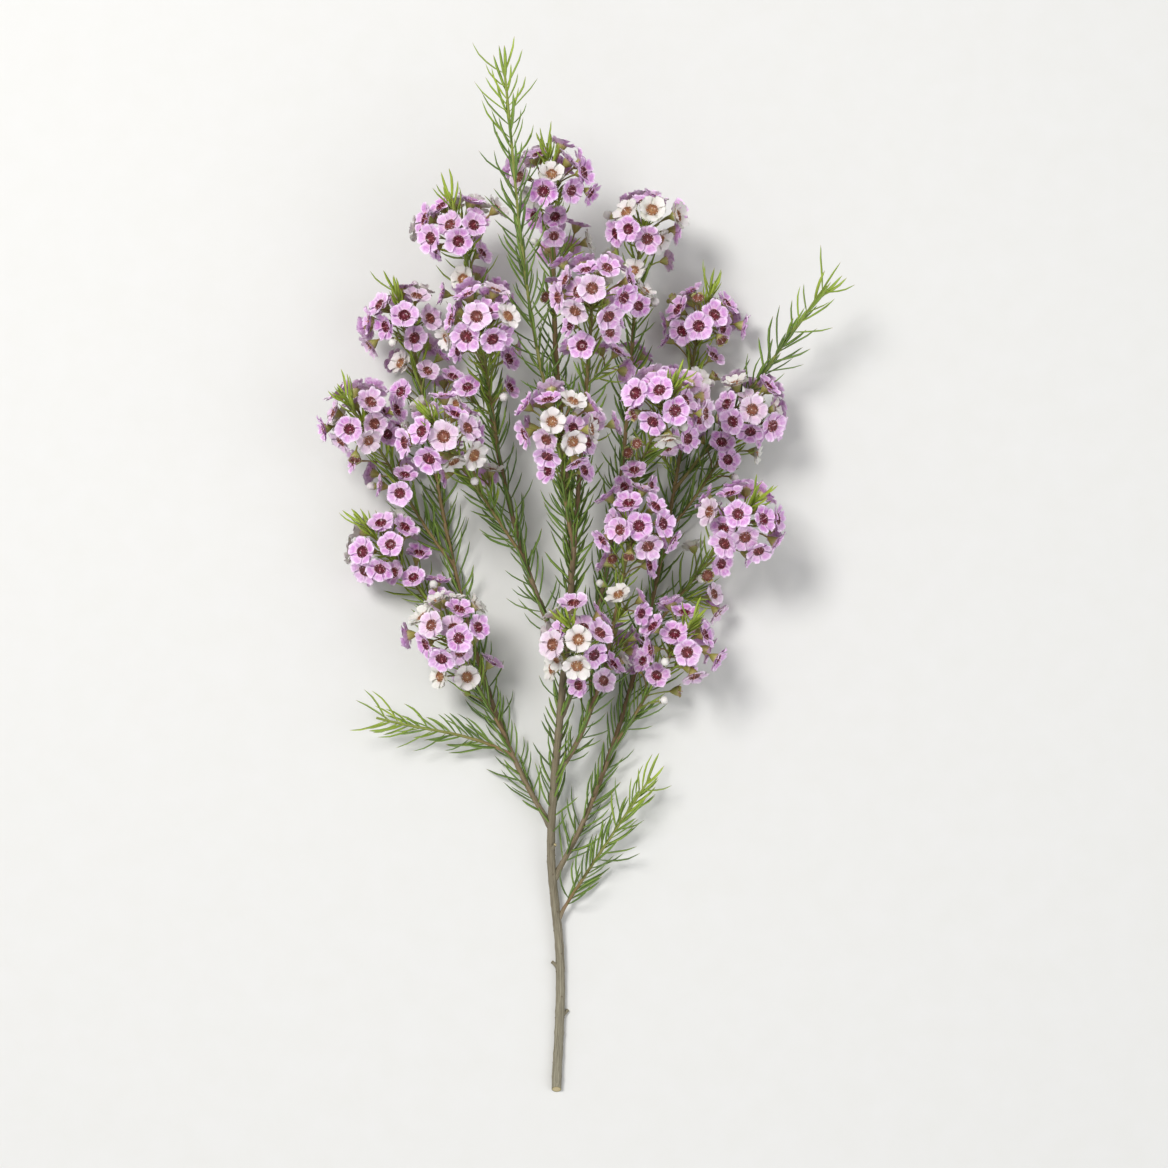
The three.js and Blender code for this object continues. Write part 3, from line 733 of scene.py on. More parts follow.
def add_pairs_between(stretch):
    """Leaf pairs on the nodes in between, and below the solids' lowest pair."""
    leaf, finer = stretch.kind.leaf, stretch.kind.finer
    fine = stretch.kind.pair_step / finer
    k = -math.floor((stretch.bare - stretch.lowest) / fine)
    while stretch.bare + k * fine <= stretch.last - BETWEEN.bare_end:
        if k % finer or k < 0:
            distance = stretch.bare + k * fine + rng.uniform(*BETWEEN.place)
            place, along = stretch.path.smooth(distance)
            youth = youth_at(stretch.path, distance)
            for half in (0, math.pi):
                for attempt in range(BETWEEN.tries):
                    turn = stretch.turn + k * math.pi / 2 + half + rng.normal(0, BETWEEN.turn)
                    angle = math.radians(leaf.angle + rng.uniform(*BETWEEN.angle))
                    angle *= 1 - BETWEEN.straighter * attempt
                    length = leaf.length * rng.uniform(*BETWEEN.length) * (1 - BETWEEN.shorter * attempt)
                    reach = leaning(along, angle, turn) * length
                    if place_leaf(stretch.node, place, reach, along, BETWEEN, youth):
                        break
        k += 1


def add_rachis_leaves(layout):
    """Short leaves among the pedicels, under the flowers and round the rachis's tip."""
    for k in range(ON_RACHIS.count):
        at = ON_RACHIS.low + k * (RACHIS_ABOVE + ON_RACHIS.above) / (ON_RACHIS.count - 1)
        place = layout.hub + layout.heading * at
        for attempt in range(ON_RACHIS.tries):
            angle = drawn_angle(*ON_RACHIS.angle)
            length = rng.uniform(*ON_RACHIS.length) * (1 - ON_RACHIS.shorter * attempt)
            turn = k * LEAF_TURN + rng.normal(0, ON_RACHIS.turn)
            reach = leaning(layout.heading, angle, turn) * length
            if place_leaf(layout.name, place, reach, layout.heading, ON_RACHIS, ON_RACHIS.youth):
                break


def add_stalk_leaves(layout, root, knot):
    heading = towards(root, knot)
    for k in range(ON_STALK.count):
        share = ON_STALK.low + (1 - ON_STALK.low) * k / (ON_STALK.count - 1)
        place = root + (knot - root) * share
        outward = leaning(heading, drawn_angle(*ON_STALK.angle), k * LEAF_TURN)
        reach = outward * rng.uniform(*ON_STALK.length)
        place_leaf(layout.name, place, reach, heading, ON_STALK, ON_STALK.youth)


for stretch in stretches:
    add_pairs_between(stretch)
for layout in sprays:
    add_rachis_leaves(layout)
for layout in sprays:
    for root, knot in layout.groups:
        add_stalk_leaves(layout, root, knot)

# ---------- meshes ----------

FIELDS = ("share", "cross", "tone", "age", "rim")


class Form:
    """A mesh being put together, in parts that each have their points, faces, material and fields."""

    def __init__(self):
        self.parts = []

    def add(self, points, faces, slot, grain=None, **fields):
        """A part from points in a list or in a grid, with fields that fit all of them or their rows."""
        points = np.asarray(points)
        layers = {
            name: np.broadcast_to(fields.get(name, 0.0), points.shape[:-1]).ravel() for name in FIELDS
        }
        grain = np.reshape(points if grain is None else grain, (-1, 3))
        self.parts.append(Record(
            points=points.reshape(-1, 3), faces=np.asarray(faces), slot=slot, grain=grain, fields=layers,
        ))

    def add_grid(self, points, slot, closed=True, **fields):
        """Quads between the points of a grid, row by row, and from its last column to its first."""
        here = np.arange(len(points) * len(points[0])).reshape(len(points), -1)
        beside = np.roll(here, -1, 1)
        quads = np.stack([here[:-1], beside[:-1], beside[1:], here[1:]], -1)
        self.add(points, (quads if closed else quads[:, :-1]).reshape(-1, 4), slot, **fields)

    def add_rings(self, rings, slot, **fields):
        """Closed rings of points. A field with one dimension has a value for each ring."""
        for name, value in fields.items():
            if np.ndim(value) == 1:
                fields[name] = np.reshape(value, (-1, 1))
        self.add_grid(rings, slot, **fields)

    def add_placed(self, other, place, **changes):
        """Every part of another form, with its points put through place and some fields changed."""
        for part in other.parts:
            changed = {name: change(part.fields[name]) for name, change in changes.items()}
            self.add(place(part.points), part.faces, part.slot, part.grain, **{**part.fields, **changed})


def stacked(*layers):
    """Points from their three coordinates, each an array or a single value."""
    return np.stack(np.broadcast_arrays(*layers), -1)


def carried_frames(alongs):
    """Side and lift directions along a path that turn with it and don't twist."""
    side, lift = across(alongs[0])
    frames = [(side, lift)]
    for along in alongs[1:]:
        side = unit(side - along * (side @ along))
        lift = np.cross(along, side)
        frames.append((side, lift))
    return frames


def tube(form, places, radii, sides, slot, alongs=None, grain_scale=1.0, profile=None, **fields):
    """A round tube through places. profile gives a factor for each angle, at a distance along it."""
    if alongs is None:
        alongs = [towards(a, b) for a, b in zip(places, places[1:])]
        alongs.append(alongs[-1])
    angles = ring_angles(sides)
    rings, grain, run = [], [], 0.0
    for i, (place, (side, lift), radius) in enumerate(zip(places, carried_frames(alongs), radii)):
        run += 0 if i == 0 else np.linalg.norm(place - places[i - 1])
        factor = 1.0 if profile is None else profile(run, angles)[:, None]
        rings.append(place + radius * factor * ring_of(side, lift, angles))
        grain.append(stacked(np.cos(angles) * grain_scale, np.sin(angles) * grain_scale, run / 10))
    form.add_rings(rings, slot, grain=grain, **fields)


def round_form(form, radii, heights, sides, slot, factor=None, **fields):
    """A turned shape round Z, from its rings' radii and heights. factor widens it at each angle."""
    angles = ring_angles(sides)
    rings = []
    for i, (radius, height) in enumerate(zip(radii, heights)):
        wide = radius * (1.0 if factor is None else factor(i, angles))
        rings.append(stacked(wide * np.cos(angles), wide * np.sin(angles), height))
    form.add_rings(rings, slot, **fields)


def add_blade(form, s, u, out, wide, height, middle, slot, **fields):
    """A petal or sepal: a grid of places outward, sideways and upward, turned round Z to middle."""
    x = out * math.cos(middle) - wide * math.sin(middle)
    y = out * math.sin(middle) + wide * math.cos(middle)
    form.add_grid(stacked(x, y, height), slot, closed=False, share=s, cross=u, **fields)


def ball(form, middle, radius, slot, rings, sides, stretch=1.0, **fields):
    turns = np.linspace(0.02, math.pi - 0.02, rings + 1)
    small = Form()
    round_form(small, np.sin(turns) * radius, -np.cos(turns) * radius * stretch, sides, slot, **fields)
    form.add_placed(small, lambda points: points + middle)


# ---------- one flower, in its own frame: millimetres, axis along Z ----------

PETAL, FRILL, CUP, STAMEN, CALYX, STALK, FOLIAGE, CUT_WOOD = range(8)
PETAL_GRID = (7, 9)
PETAL_ROOT = Record(radius=2.85, height=5.1)
PETAL_REACH = 4.95
PETAL_WIDEST = 0.55
HALF_WIDTH = 3.1
FRILL_ROOT = Record(radius=2.75, height=4.5)
FRILL_REACH = 4.0
FRILL_TEETH = 7
STUB = Record(length=0.22, width=0.62)
CUP_RIM_HEIGHT = 5.3
RIBS = 10
# Each of these is its rings' radii and their heights.
CALYX_RINGS = ([0.52, 0.98, 1.62, 2.15, 2.60, 2.95], [-0.1, 0.6, 1.6, 2.7, 3.8, 4.9])
CUP_RINGS = (
    [3.02, 3.12, 3.00, 2.70, 2.25, 1.50, 0.60, 0.05], [4.9, 5.26, 5.48, 5.34, 4.86, 4.48, 4.42, 4.60],
)
BUD_CALYX_RINGS = ([0.50, 0.75, 1.15, 1.50, 1.75, 1.95, 2.05], [-0.1, 0.4, 1.0, 1.6, 2.3, 2.9, 3.5])


def add_petal(form, middle, opening, draw):
    """A broad round petal, hollowed like a spoon, with a waved margin. opening is 1 when wide open."""
    reach = PETAL_REACH * (0.72 + 0.28 * opening) * (1 + 0.05 * draw.normal())
    half_width = HALF_WIDTH * (1 + 0.07 * draw.normal())
    rise = 1.25 + 3.2 * (1 - opening) + draw.normal() * 0.4
    curl = draw.uniform(-0.2, 0.6)
    twist = 0.11 + draw.normal() * 0.05
    phase = draw.uniform(0, 6.28, 3)
    rows, columns = PETAL_GRID
    share = 1 - (1 - np.linspace(0, 1, rows)) ** 1.5
    cross = np.sin(np.linspace(-1, 1, columns) * math.pi / 2)
    s, u = np.meshgrid(share, cross, indexing="ij")
    belly = np.where(
        s < PETAL_WIDEST,
        0.46 + 0.54 * smooth_step(0, PETAL_WIDEST, s),
        np.sqrt(np.clip(1 - ((s - PETAL_WIDEST) / 0.46) ** 2, 0.0, 1)),
    )
    wide = half_width * belly * u * (1 + 0.07 * np.sin(9 * s + phase[0]) * (s > 0.2))
    out = PETAL_ROOT.radius + reach * s * (1 + 0.06 * np.sin(6 * u + phase[1]) * s)
    rim = np.minimum((u**4 + np.clip((s - 0.3) / 0.7, 0, 1) ** 4) ** 0.25, 1)
    around = np.arctan2(u, (s - 0.4) * 1.6)
    ruffle = 0.32 * np.sin(6 * around + phase[2]) + 0.34 * np.sin(3.4 * around + phase[0])
    hollow = 0.95 * (wide / half_width) ** 2 * (0.35 + 0.65 * s)
    height = PETAL_ROOT.height + rise * s * (1.3 - 0.5 * s) + hollow + curl * s**4
    height = height + ruffle * rim**3 + twist * wide * s
    add_blade(form, s, u, out, wide, height, middle, PETAL, grain=stacked(s * 4, u * 1.5, phase[0]),
              rim=rim, tone=draw.uniform(0, 1))


def add_frill(form, middle, draw, spent):
    """A petal-like sepal, fluted and toothed, behind the gap between two petals. A spent one is a stub."""
    columns = 2 * FRILL_TEETH + 1
    s, u = np.meshgrid(np.linspace(0, 1, 4), np.linspace(-1, 1, columns), indexing="ij")
    half_width = HALF_WIDTH * (0.48 + 0.52 * np.sin(np.clip(s * 1.3, 0, 1) * math.pi / 2))
    teeth = np.where(np.arange(columns) % 2, 0.55, -0.3) * (0.6 + 0.8 * draw.uniform(0, 1, columns))
    reach = FRILL_REACH * s * (1 - 0.24 * u**2) * (1 + 0.05 * draw.normal()) + teeth * (s == 1)
    if spent:
        reach = reach * STUB.length
        half_width = half_width * STUB.width
    wide = half_width * u * (1 - 0.10 * u**2 * s)
    fluting = 0.10 * np.cos(FRILL_TEETH * math.pi * (u + 1)) + 0.16 * np.sin(5 * u + draw.uniform(0, 6.28))
    height = FRILL_ROOT.height + 1.75 * s - 0.35 * s**2 + fluting * s
    height = height + draw.normal() * 0.30 * s - 0.45 * u**2 * s
    add_blade(form, s, u, FRILL_ROOT.radius + reach, wide, height, middle, CALYX if spent else FRILL,
              grain=stacked(s * 3, u * 2.4, teeth[0] * 9), rim=s, tone=draw.uniform(0, 1))


def add_ribbed_cone(form, rings, sides, depth, full_by, **fields):
    """The inferior ovary, which widens from the pedicel, with ribs that deepen over its first rings."""
    radii, heights = rings
    round_form(form, radii, heights, sides, CALYX, share=np.linspace(0, 1, len(radii)),
               factor=lambda i, angles: 1 + depth * full_by(i) * np.cos(RIBS * angles), **fields)


def add_stamen(form, angle, reach, draw):
    """A short filament on the cup's rim, bent in over the cup, with a round anther."""
    outward = np.array([math.cos(angle), math.sin(angle), 0])
    end = outward * reach + UP * (5.7 + draw.normal() * 0.1)
    places = [outward * 2.78 + UP * CUP_RIM_HEIGHT, outward * 2.72 + UP * 5.85, end]
    tube(form, places, [0.17, 0.13, 0.10], 3, STAMEN, share=0.2, tone=0.7)
    ball(form, end, 0.24, STAMEN, rings=2, sides=4, share=1.0, tone=0.42 if draw.uniform() < 0.12 else 1.0)


def add_staminode(form, angle, draw):
    """A small pointed tooth between two stamens."""
    outward = np.array([math.cos(angle), math.sin(angle), 0])
    side = np.array([-outward[1], outward[0], 0])
    root = outward * 2.85 + UP * CUP_RIM_HEIGHT
    tip = outward * (2.35 + draw.normal() * 0.05) + UP * 6.15
    points = [root - side * 0.26, root + side * 0.26, root + outward * 0.14, tip]
    form.add(points, [(0, 1, 3, 3), (1, 2, 3, 3), (2, 0, 3, 3)], STAMEN, share=0.9, tone=0.12)


def make_flower(seed, opening, spent=False):
    """A flower. opening is 1 when wide open; a spent one has lost its petals."""
    draw = np.random.default_rng(seed)
    form = Form()
    add_ribbed_cone(form, CALYX_RINGS, 20, 0.075, lambda i: math.sin(min(i / 2, 1) * math.pi / 2),
                    tone=draw.uniform(0, 1), cross=[np.cos(RIBS * ring_angles(20))])
    for i in range(PETALS):
        add_frill(form, i * 2 * math.pi / PETALS, draw, spent)
    for i in range(0 if spent else PETALS):
        add_petal(form, (i + 0.5) * 2 * math.pi / PETALS + draw.normal() * 0.04, opening, draw)
    # The nectar cup, lobed, with a rolled rim and a low mound round the style.
    round_form(form, *CUP_RINGS, 15, CUP, share=np.linspace(1, 0, len(CUP_RINGS[0])),
               factor=lambda i, angles: 1 + 0.065 * np.cos(PETALS * angles + math.pi) * (i < 6))
    for i in range(2 * PETALS):
        angle = i * math.pi / PETALS + draw.normal() * 0.05
        add_stamen(form, angle, 2.0 + draw.normal() * 0.12, draw)
        add_staminode(form, angle + math.pi / (2 * PETALS), draw)
    lean = draw.normal(0, 0.45, 2)
    style = [np.array([lean[0] * t * t, lean[1] * t * t, 4.5 + 2.3 * t]) for t in np.linspace(0, 1, 4)]
    tube(form, style, [0.22, 0.18, 0.17, 0.19], 4, STAMEN, share=0.5, tone=0.34)
    ball(form, style[-1], 0.3, STAMEN, rings=3, sides=5, share=0.8, tone=0.12)
    return form


def make_bud(seed):
    """A round bud of overlapping petals on a short ribbed cone, held by five broad sepals."""
    draw = np.random.default_rng(seed)
    form = Form()
    add_ribbed_cone(form, BUD_CALYX_RINGS, 30, 0.07, lambda i: min(i / 3, 1))

    def seams(i, angles):
        from_seam = np.mod(angles * PETALS / (2 * math.pi) + i * 0.05, 1) - 0.5
        return 1 - 0.05 * np.exp(-((from_seam / 0.10) ** 2))

    turns = np.linspace(0.35, math.pi - 0.02, 13)
    round_form(form, np.sin(turns) * 2.3, 5.0 - np.cos(turns) * 2.25, 30, PETAL, factor=seams,
               share=np.linspace(0.2, 0.9, 13), tone=draw.uniform(0, 1))
    for i in range(PETALS):
        s, u = np.meshgrid(np.linspace(0, 1, 5), np.linspace(-1, 1, 7), indexing="ij")
        wide = 1.25 * np.sqrt(1 - 0.9 * s**2) * u
        out = 2.0 + 0.42 * np.sin(s * 2.4)
        height = 3.2 + 1.7 * s * (1 - 0.25 * u**2)
        add_blade(form, s, u, out, wide, height, i * 2 * math.pi / PETALS, FRILL, tone=draw.uniform(0, 1))
    return form


# ---------- one leaf: a narrow keeled needle with an incurved, pointed tip ----------

LEAF_RINGS = np.array([0, 0.08, 0.24, 0.48, 0.72, 0.9, 1.0])
LEAF_WIDTHS = np.array([0.45, 0.56, 0.9, 1.0, 0.9, 0.54, 0.05])
# The section, as shares of half the width: nearly flat above, with a shallow groove, and keeled below.
LEAF_SECTION = np.array([[-1, 0.15], [0, 0.02], [1, 0.15], [0.45, -0.8], [-0.45, -0.8]])
FINE_LEAF_SECTION = np.array([[-1, 0.15], [0, 0.0], [1, 0.15], [0, -0.85]])
LEAF_ROLL = 0.45
LEAF_HOOK = 0.035
LEAF_BOW = (-0.02, 0.085)


def add_leaf(form, root, tip, along, youth, tone, bow, half_width, outline):
    """bow is how far the leaf arches outward, as a share of its length."""
    heading = towards(root, tip)
    length = np.linalg.norm(tip - root)
    if abs(along @ heading) < 0.9999:
        inward = unit(along - heading * (along @ heading))
    else:
        inward = across(heading)[1]
    side = unit(np.cross(heading, inward))
    roll = rng.normal(0, LEAF_ROLL)
    blade = side * math.cos(roll) + inward * math.sin(roll)
    face = inward * math.cos(roll) - side * math.sin(roll)
    share = LEAF_RINGS[:, None, None]
    rise = LEAF_HOOK * smooth_step(0.72, 1.0, share) - bow * (4 * share * (1 - share))
    middle = root + heading * length * share + inward * length * rise
    section = outline * half_width * LEAF_WIDTHS[:, None, None]
    rings = middle + section[..., :1] * blade + section[..., 1:] * face
    cross = outline[None, :, 0]
    grain = stacked(LEAF_RINGS[:, None] * length / 3, cross, tone * 9)
    form.add_rings(rings, FOLIAGE, grain=grain, share=LEAF_RINGS, cross=cross, tone=tone, age=1 - youth)


# ---------- materials ----------


def srgb(red, green, blue):
    def linear(value):
        value /= 255
        return value / 12.92 if value <= 0.04045 else ((value + 0.055) / 1.055) ** 2.4

    return (linear(red), linear(green), linear(blue), 1.0)


class Shader:
    """A material's nodes, with a short call for each kind. base is its colour so far."""

    def __init__(self, name, **inputs):
        self.material = bpy.data.materials.new(name)
        self.material.use_nodes = True
        self.nodes = self.material.node_tree.nodes
        self.nodes.clear()
        self.skin = self.nodes.new("ShaderNodeBsdfPrincipled")
        for key, value in inputs.items():
            self.put(self.skin, key.replace("_", " "), value)
        self.put(self.nodes.new("ShaderNodeOutputMaterial"), "Surface", self.skin.outputs["BSDF"])
        self.share, self.cross, self.tone, self.age, self.rim = (self.field(key, "Fac") for key in FIELDS)
        self.grain = self.field("grain", "Vector")

    def put(self, node, key, value):
        if isinstance(value, bpy.types.NodeSocket):
            self.material.node_tree.links.new(value, node.inputs[key])
        else:
            node.inputs[key].default_value = value

    def node(self, kind, inputs, output=0, **settings):
        """One output of a new node, whose inputs are values or other nodes' outputs."""
        node = self.nodes.new(f"ShaderNode{kind}")
        for key, value in settings.items():
            setattr(node, key, value)
        for key, value in inputs.items():
            self.put(node, key, value)
        return node.outputs[output]

    def field(self, name, output):
        return self.node("Attribute", {}, output, attribute_name=name)

    def math(self, operation, a, b=0.0, clamp=False):
        return self.node("Math", {0: a, 1: b}, operation=operation, use_clamp=clamp)

    def plus(self, a, b):
        return self.math("ADD", a, b)

    def times(self, a, b):
        return self.math("MULTIPLY", a, b)

    def minus(self, a, b):
        return self.math("SUBTRACT", a, b)

    def varied(self, value, by, amount):
        return self.math("ADD", value, self.times(self.minus(by, 0.5), amount), clamp=True)

    def mix(self, share, a, b):
        return self.node("Mix", {0: share, 6: a, 7: b}, 2, data_type="RGBA")

    def ramp(self, value, *stops):
        """Stops are (place, level) or (place, red, green, blue)."""
        output = self.node("ValToRGB", {0: value})
        elements = output.node.color_ramp.elements
        while len(elements) < len(stops):
            elements.new(0.5)
        for element, (place, *colour) in zip(elements, stops):
            element.position = place
            element.color = srgb(*colour) if len(colour) == 3 else (*colour * 3, 1)
        return output

    def noise(self, scale, detail=3.0, roughness=0.55, stretch=None, vector=None):
        vector = vector or self.grain
        if stretch is not None:
            vector = self.node("Mapping", {"Vector": vector, "Scale": stretch})
        inputs = {"Vector": vector, "Scale": scale, "Detail": detail, "Roughness": roughness}
        return self.node("TexNoise", inputs, "Fac")

    def spots(self, scale, core, edge):
        """Round oil dots, full up to core and gone at edge."""
        distance = self.node("TexVoronoi", {"Vector": self.grain, "Scale": scale}, "Distance")
        return self.ramp(distance, (core, 1.0), (edge, 0.0))

    def tint(self, colour, value, *stops):
        """Turns the base towards a colour, by a value or by a ramp over it."""
        self.base = self.mix(self.ramp(value, *stops) if stops else value, self.base, colour)

    def finish(self, mottle, low_rough, high_rough, relief=None, strength=0.0, distance=0.0):
        """Puts in the base, a roughness that goes with the mottle, and the relief."""
        self.put(self.skin, "Base Color", self.base)
        self.put(self.skin, "Roughness", self.ramp(mottle, (0.3, low_rough), (0.7, high_rough)))
        if relief is not None:
            inputs = {"Strength": strength, "Distance": distance, "Height": relief}
            self.put(self.skin, "Normal", self.node("Bump", inputs))
        return self.material


def petal_material(name, stops, pale, cream, edge_from):
    """Petals and sepals: tinted inside, paler to the margin, with fine veins. Young ones are white. The
    paler margin is partly their own colour and partly a painted highlight on the raised margin.
    """
    look = Shader(name, Subsurface_Weight=0.18, Subsurface_Radius=(1.0, 0.75, 1.0), Subsurface_Scale=0.0010,
                  Sheen_Weight=0.10, Sheen_Roughness=0.4)
    mottle = look.noise(1.6, detail=4.0)
    veins = look.noise(1.0, detail=2.0, stretch=(0.35, 9.0, 1.0))
    look.base = look.ramp(look.share, *stops)
    look.tint(pale, mottle, (0.40, 0.0), (0.70, 0.40))
    look.tint(pale, veins, (0.28, 0.55), (0.44, 0.0))
    look.tint(srgb(*stops[2][1:]), veins, (0.50, 0.0), (0.66, 0.45))
    # Paler to the margin: partly the petal's own colour, partly a painted highlight where the cupped margin
    # rises into the light.
    look.tint(pale, look.rim, (edge_from, 0.0), (1.0, 0.8))
    look.tint(pale, look.times(look.tone, 0.30))
    grown = look.base
    look.base = srgb(212, 196, 182)
    look.tint(cream, look.share, (0.0, 0.0), (0.3, 1.0))
    look.tint(srgb(204, 198, 196), veins, (0.42, 0.0), (0.62, 0.3))
    look.tint(grown, look.age)
    return look.finish(mottle, 0.42, 0.62, look.plus(veins, look.times(mottle, 0.6)), 0.35, 0.0003)


def cup_material():
    look = Shader("nectar_cup", Coat_Weight=0.25, Coat_Roughness=0.12, Specular_IOR_Level=0.4)
    mottle = look.noise(1.3)
    look.base = look.ramp(look.share, (0.0, 196, 160, 112), (0.3, 168, 114, 70), (0.62, 140, 92, 62),
                          (0.86, 192, 156, 128), (1.0, 232, 222, 214))
    grown = look.ramp(look.share, (0.0, 140, 32, 64), (0.16, 110, 12, 42), (0.5, 88, 6, 32),
                      (0.70, 66, 4, 26), (0.84, 116, 18, 58), (1.0, 196, 120, 168))
    look.tint(grown, look.age)
    look.tint(srgb(60, 8, 24), mottle, (0.35, 0.0), (0.7, 0.35))
    return look.finish(mottle, 0.28, 0.48, mottle, 0.25, 0.0002)


def stamen_material():
    look = Shader("stamens", Subsurface_Weight=0.1, Subsurface_Scale=0.0006)
    mottle = look.noise(3.0)
    look.base = look.ramp(look.tone, (0.0, 244, 240, 232), (0.4, 214, 176, 120), (1.0, 150, 96, 52))
    grown = look.ramp(look.tone, (0.0, 240, 200, 220), (0.3, 220, 146, 166), (0.45, 206, 124, 124),
                      (0.7, 118, 22, 48), (1.0, 72, 8, 24))
    look.tint(grown, look.age)
    look.tint(srgb(214, 150, 140), mottle, (0.4, 0.0), (0.8, 0.3))
    return look.finish(mottle, 0.35, 0.55)


def calyx_material():
    """The ribbed cone: yellow-green, flushed on its ribs, with oil dots."""
    look = Shader("calyx", Subsurface_Weight=0.12, Subsurface_Scale=0.0008)
    mottle = look.noise(0.9)
    glands = look.spots(2.6, 0.10, 0.24)
    look.base = look.ramp(look.share, (0.0, 150, 118, 62), (0.22, 150, 148, 66), (0.7, 163, 170, 92),
                          (1.0, 198, 178, 148))
    look.tint(srgb(176, 128, 96), look.cross, (0.35, 0.0), (1.0, 0.45))
    look.tint(srgb(120, 140, 60), mottle, (0.45, 0.0), (0.75, 0.5))
    look.tint(srgb(152, 84, 60), look.times(look.tone, 0.3))
    look.tint(srgb(104, 118, 44), look.times(glands, 0.5))
    return look.finish(mottle, 0.36, 0.52, look.minus(mottle, glands), 0.3, 0.0002)


def twig_material():
    """Wood by its age: lime green, then red-brown, then tan and grey bark with long fissures."""
    look = Shader("twig_bark", Specular_IOR_Level=0.35)
    fibres = look.noise(2.4, detail=6.0, roughness=0.65, stretch=(2.2, 2.2, 0.35))
    flakes = look.noise(1.3, detail=4.0, stretch=(1.2, 1.2, 0.9))
    fissures = look.noise(1.5, detail=5.0, roughness=0.7, stretch=(2.6, 2.6, 0.16))
    look.base = look.ramp(
        look.varied(look.age, flakes, 0.34),
        (0.0, 150, 166, 78), (0.14, 146, 148, 84), (0.30, 150, 126, 86), (0.48, 142, 114, 86),
        (0.66, 138, 124, 101), (0.84, 134, 126, 107), (1.0, 152, 147, 128),
    )
    dark = look.mix(look.age, srgb(96, 92, 40), srgb(74, 62, 46))
    pale = look.mix(look.age, srgb(172, 176, 96), srgb(184, 172, 140))
    look.tint(dark, fibres, (0.32, 0.9), (0.50, 0.0))
    look.tint(pale, fibres, (0.56, 0.0), (0.78, 0.6))
    look.tint(dark, look.times(look.ramp(fissures, (0.36, 0.75), (0.46, 0.0)), look.age))
    look.tint(srgb(96, 68, 44), look.times(look.tone, 0.6))
    furrows = look.times(look.ramp(fissures, (0.34, 0.0), (0.48, 1.0)), 0.8)
    relief = look.plus(look.plus(fibres, furrows), look.times(flakes, 0.5))
    return look.finish(fibres, 0.82, 0.5, relief, 0.6, 0.0004)


def cut_wood_material():
    """Growth rings round a darker pith, with a green layer under the bark."""
    look = Shader("cut_wood")
    fibres = look.noise(5.0, detail=5.0)
    rings = look.math("SINE", look.times(look.plus(look.share, look.times(fibres, 0.08)), 26.0))
    look.base = look.ramp(look.share, (0.0, 150, 124, 82), (0.1, 206, 190, 150), (0.78, 196, 178, 130),
                          (0.84, 150, 160, 92), (0.92, 104, 84, 58), (1.0, 80, 64, 46))
    look.tint(srgb(128, 98, 58), look.times(look.plus(rings, 1.0), 0.12))
    look.tint(srgb(232, 222, 190), fibres, (0.4, 0.0), (0.75, 0.4))
    return look.finish(fibres, 0.6, 0.85, fibres, 0.5, 0.0003)


def leaf_material():
    """Needles: lime while young, deep green later, with a pale midline, dots of oil and a tawny tip."""
    look = Shader("needle_leaf", Subsurface_Weight=0.10, Subsurface_Radius=(0.6, 1.0, 0.25),
                  Subsurface_Scale=0.0008, Specular_IOR_Level=0.45)
    mottle = look.noise(1.5)
    glands = look.spots(5.0, 0.08, 0.2)
    look.base = look.ramp(look.varied(look.age, look.tone, 0.5), (0.0, 170, 190, 66), (0.35, 140, 165, 58),
                          (0.7, 108, 137, 54), (1.0, 78, 106, 48))
    look.tint(srgb(116, 140, 54), mottle, (0.35, 0.0), (0.75, 0.4))
    look.tint(srgb(166, 184, 96), look.math("ABSOLUTE", look.cross), (0.0, 0.45), (0.35, 0.0))
    look.tint(srgb(176, 178, 88), look.share, (0.0, 0.55), (0.12, 0.0))
    look.tint(srgb(176, 132, 62), look.share, (0.93, 0.0), (1.0, 0.8))
    look.tint(srgb(60, 84, 30), look.times(glands, 0.35))
    return look.finish(mottle, 0.34, 0.5, look.minus(mottle, look.times(glands, 0.8)), 0.25, 0.0002)


PETAL_STOPS = [(0.0, 242, 196, 220), (0.18, 224, 156, 212), (0.40, 188, 102, 190), (0.70, 206, 132, 208),
               (1.0, 236, 196, 238)]
FRILL_STOPS = [(0.0, 190, 150, 150), (0.2, 196, 128, 190), (0.5, 190, 110, 194), (0.8, 210, 142, 214),
               (1.0, 234, 190, 236)]
materials = {
    PETAL: petal_material("petal", PETAL_STOPS, srgb(248, 228, 251), srgb(230, 229, 222), 0.62),
    FRILL: petal_material("sepal_frill", FRILL_STOPS, srgb(246, 222, 249), srgb(224, 224, 210), 0.58),
    CUP: cup_material(),
    STAMEN: stamen_material(),
    CALYX: calyx_material(),
    STALK: twig_material(),
    FOLIAGE: leaf_material(),
    CUT_WOOD: cut_wood_material(),
}

# ---------- putting the pieces together ----------

forms = {}


def form_of(node):
    return forms.setdefault(node, Form())


